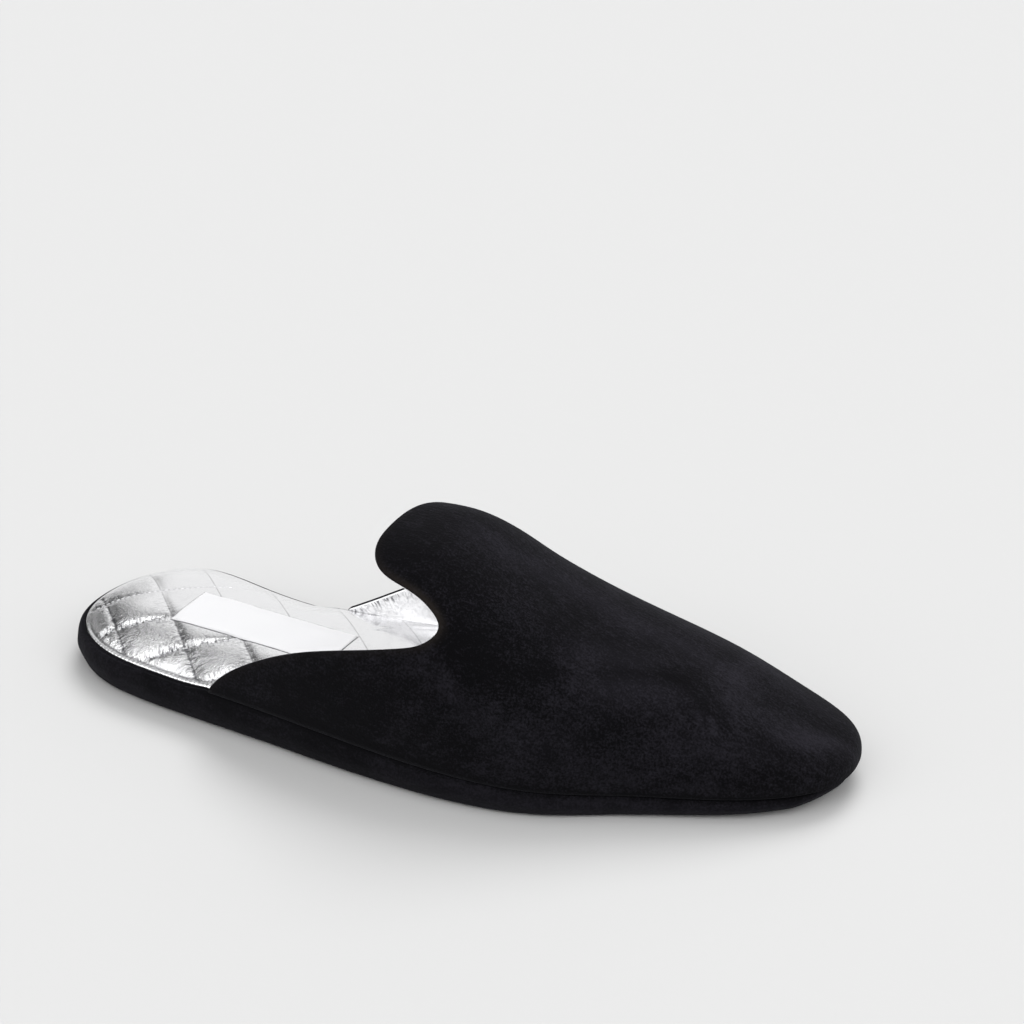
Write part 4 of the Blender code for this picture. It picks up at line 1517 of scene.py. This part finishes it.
# The lows of the lining's gathers get painted shade.
lining_folds = [("UV", 0.0, *LINING_FOLDS, "gather_top")]
lining_foil = make_foil(
    "lining_foil_leather", LINING_METAL, LINING_GREY, LINING_SCALES, "mottle", lining_folds, ()
)
lining_piece = upper_shell(
    "foil_lining", LINING_COLUMNS, LINING_ROWS, LINING_TUCK, SUEDE_THICKNESS + LINING_GAP, WALL,
    flat_relief, lining_relief, lining_foil,
)
mark_lining(lining_piece, LINING_COLUMNS, LINING_ROWS)
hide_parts("upper")
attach(lining_piece, "root")


# Floor
# A plain pale studio floor that runs past the picture on every side.
FLOOR_HALF = 4.0
FLOOR_COLOUR = (0.445, 0.445, 0.445)
floor_mesh = bpy.data.meshes.new("studio_floor")
corners = [(-1, -1), (1, -1), (1, 1), (-1, 1)]
floor_mesh.from_pydata([(FLOOR_HALF * a, FLOOR_HALF * b, 0.0) for a, b in corners], [], [(0, 1, 2, 3)])
floor = bpy.data.objects.new("studio_floor", floor_mesh)
bpy.context.scene.collection.objects.link(floor)
floor_paint, _, _ = new_material("floor_paint", {
    "Base Color": (*FLOOR_COLOUR, 1.0),
    "Roughness": 0.9,
    "Specular IOR Level": 0.0,
})
floor_mesh.materials.append(floor_paint)


# Light
# A pale sweep behind the shoe that is dark on its left, a bright strip overhead and a bright panel high
# in front, with one broad soft key from behind and above.
VIEW_AZIMUTH = math.radians(23.3)
KEY_STRENGTH = 2.40
KEY_SPREAD = math.radians(34.0)
KEY_ELEVATION = math.radians(51.0)
KEY_AZIMUTH = math.radians(98.0)
ROOM_PEAK = 3.0

# Columns: share of the half turn from the horizon behind (0) over the zenith (0.5) to the front (1),
# level of the room straight ahead and on its darker left
RoomRow = namedtuple("RoomRow", "turn level left")
ROOM = [
    RoomRow(turn=0.00, level=0.88, left=0.14),
    RoomRow(turn=0.20, level=0.88, left=0.08),
    RoomRow(turn=0.25, level=0.42, left=0.05),
    RoomRow(turn=0.36, level=0.16, left=0.04),
    RoomRow(turn=0.395, level=2.00, left=2.00),
    RoomRow(turn=0.465, level=2.00, left=2.00),
    RoomRow(turn=0.50, level=0.40, left=0.40),
    RoomRow(turn=0.58, level=0.80, left=0.80),
    RoomRow(turn=0.64, level=2.80, left=2.80),
    RoomRow(turn=0.77, level=2.80, left=2.80),
    RoomRow(turn=0.83, level=0.85, left=0.85),
    RoomRow(turn=1.00, level=0.85, left=0.85),
]
LEFT_START = -0.17
LEFT_END = -0.46

world = bpy.data.worlds.new("studio_room")
bpy.context.scene.world = world
world.use_nodes = True
room = world.node_tree
room.nodes.clear()
heading = add_node(room, "ShaderNodeTexCoord").outputs["Generated"]
upward_part = add_node(room, "ShaderNodeSeparateXYZ", {"Vector": heading}).outputs["Z"]
away = (-math.sin(VIEW_AZIMUTH), math.cos(VIEW_AZIMUTH), 0.0)
rightward = (math.cos(VIEW_AZIMUTH), math.sin(VIEW_AZIMUTH), 0.0)
behind = add_node(room, "ShaderNodeVectorMath", {0: heading, 1: away}, operation="DOT_PRODUCT")
sideways = add_node(room, "ShaderNodeVectorMath", {0: heading, 1: rightward}, operation="DOT_PRODUCT")
angle = add_math(room, "ARCTAN2", upward_part, behind.outputs["Value"])
half_turn = add_math(room, "DIVIDE", angle, math.pi)
values = {"Value": sideways.outputs["Value"], "From Min": LEFT_START, "From Max": LEFT_END}
leftward = add_node(room, "ShaderNodeMapRange", values)
walls = []
for name in ("level", "left"):
    levels = add_node(room, "ShaderNodeValToRGB", {"Fac": half_turn})
    levels.color_ramp.interpolation = "EASE"
    while len(levels.color_ramp.elements) < len(ROOM):
        levels.color_ramp.elements.new(0.5)
    for stop, row in zip(levels.color_ramp.elements, ROOM):
        stop.position = row.turn
        share = getattr(row, name) / ROOM_PEAK
        stop.color = (share, share, share, 1.0)
    walls.append(levels.outputs["Color"])
mixed = add_blend(room, leftward.outputs["Result"], *walls)
glow = add_node(room, "ShaderNodeBackground", {"Color": mixed, "Strength": ROOM_PEAK})
add_node(room, "ShaderNodeOutputWorld", {"Surface": glow.outputs["Background"]})

key_light = bpy.data.lights.new("soft_key", "SUN")
key_light.energy = KEY_STRENGTH
key_light.angle = KEY_SPREAD
key = bpy.data.objects.new("soft_key", key_light)
key_from = Vector((
    math.cos(KEY_ELEVATION) * math.cos(KEY_AZIMUTH),
    math.cos(KEY_ELEVATION) * math.sin(KEY_AZIMUTH),
    math.sin(KEY_ELEVATION),
))
key.visible_glossy = False
key.rotation_euler = key_from.to_track_quat("Z", "Y").to_euler()
bpy.context.scene.collection.objects.link(key)


# Camera
# A long lens above the outer side of the shoe, as in the photograph.
VIEW_ELEVATION = math.radians(27.42)
VIEW_ROLL = math.radians(0.17)
VIEW_DISTANCE = 0.67485
VIEW_TARGET = np.array([0.125, 0.0, 0.025])
VIEW_PAN = (0.01994, 0.03832)
LENS_MM = 79.55
SENSOR_MM = 36.0

right = np.array([math.cos(VIEW_AZIMUTH), math.sin(VIEW_AZIMUTH), 0.0])
upward = np.array([
    -math.sin(VIEW_AZIMUTH) * math.sin(VIEW_ELEVATION),
    math.cos(VIEW_AZIMUTH) * math.sin(VIEW_ELEVATION),
    math.cos(VIEW_ELEVATION),
])
backward = np.cross(right, upward)
spot = VIEW_TARGET + backward * VIEW_DISTANCE + right * VIEW_PAN[0] + upward * VIEW_PAN[1] - LAST_MIDDLE
rolled_right = math.cos(VIEW_ROLL) * right - math.sin(VIEW_ROLL) * upward
rolled_up = math.sin(VIEW_ROLL) * right + math.cos(VIEW_ROLL) * upward
lens = bpy.data.cameras.new("studio_camera")
lens.lens = LENS_MM
lens.sensor_width = SENSOR_MM
lens.clip_start = 0.01
camera = bpy.data.objects.new("studio_camera", lens)
turn = Matrix((rolled_right, rolled_up, backward)).transposed().to_4x4()
camera.matrix_world = Matrix.Translation(Vector(spot)) @ turn
bpy.context.scene.collection.objects.link(camera)
bpy.context.scene.camera = camera
bpy.context.scene.view_settings.view_transform = "Standard"
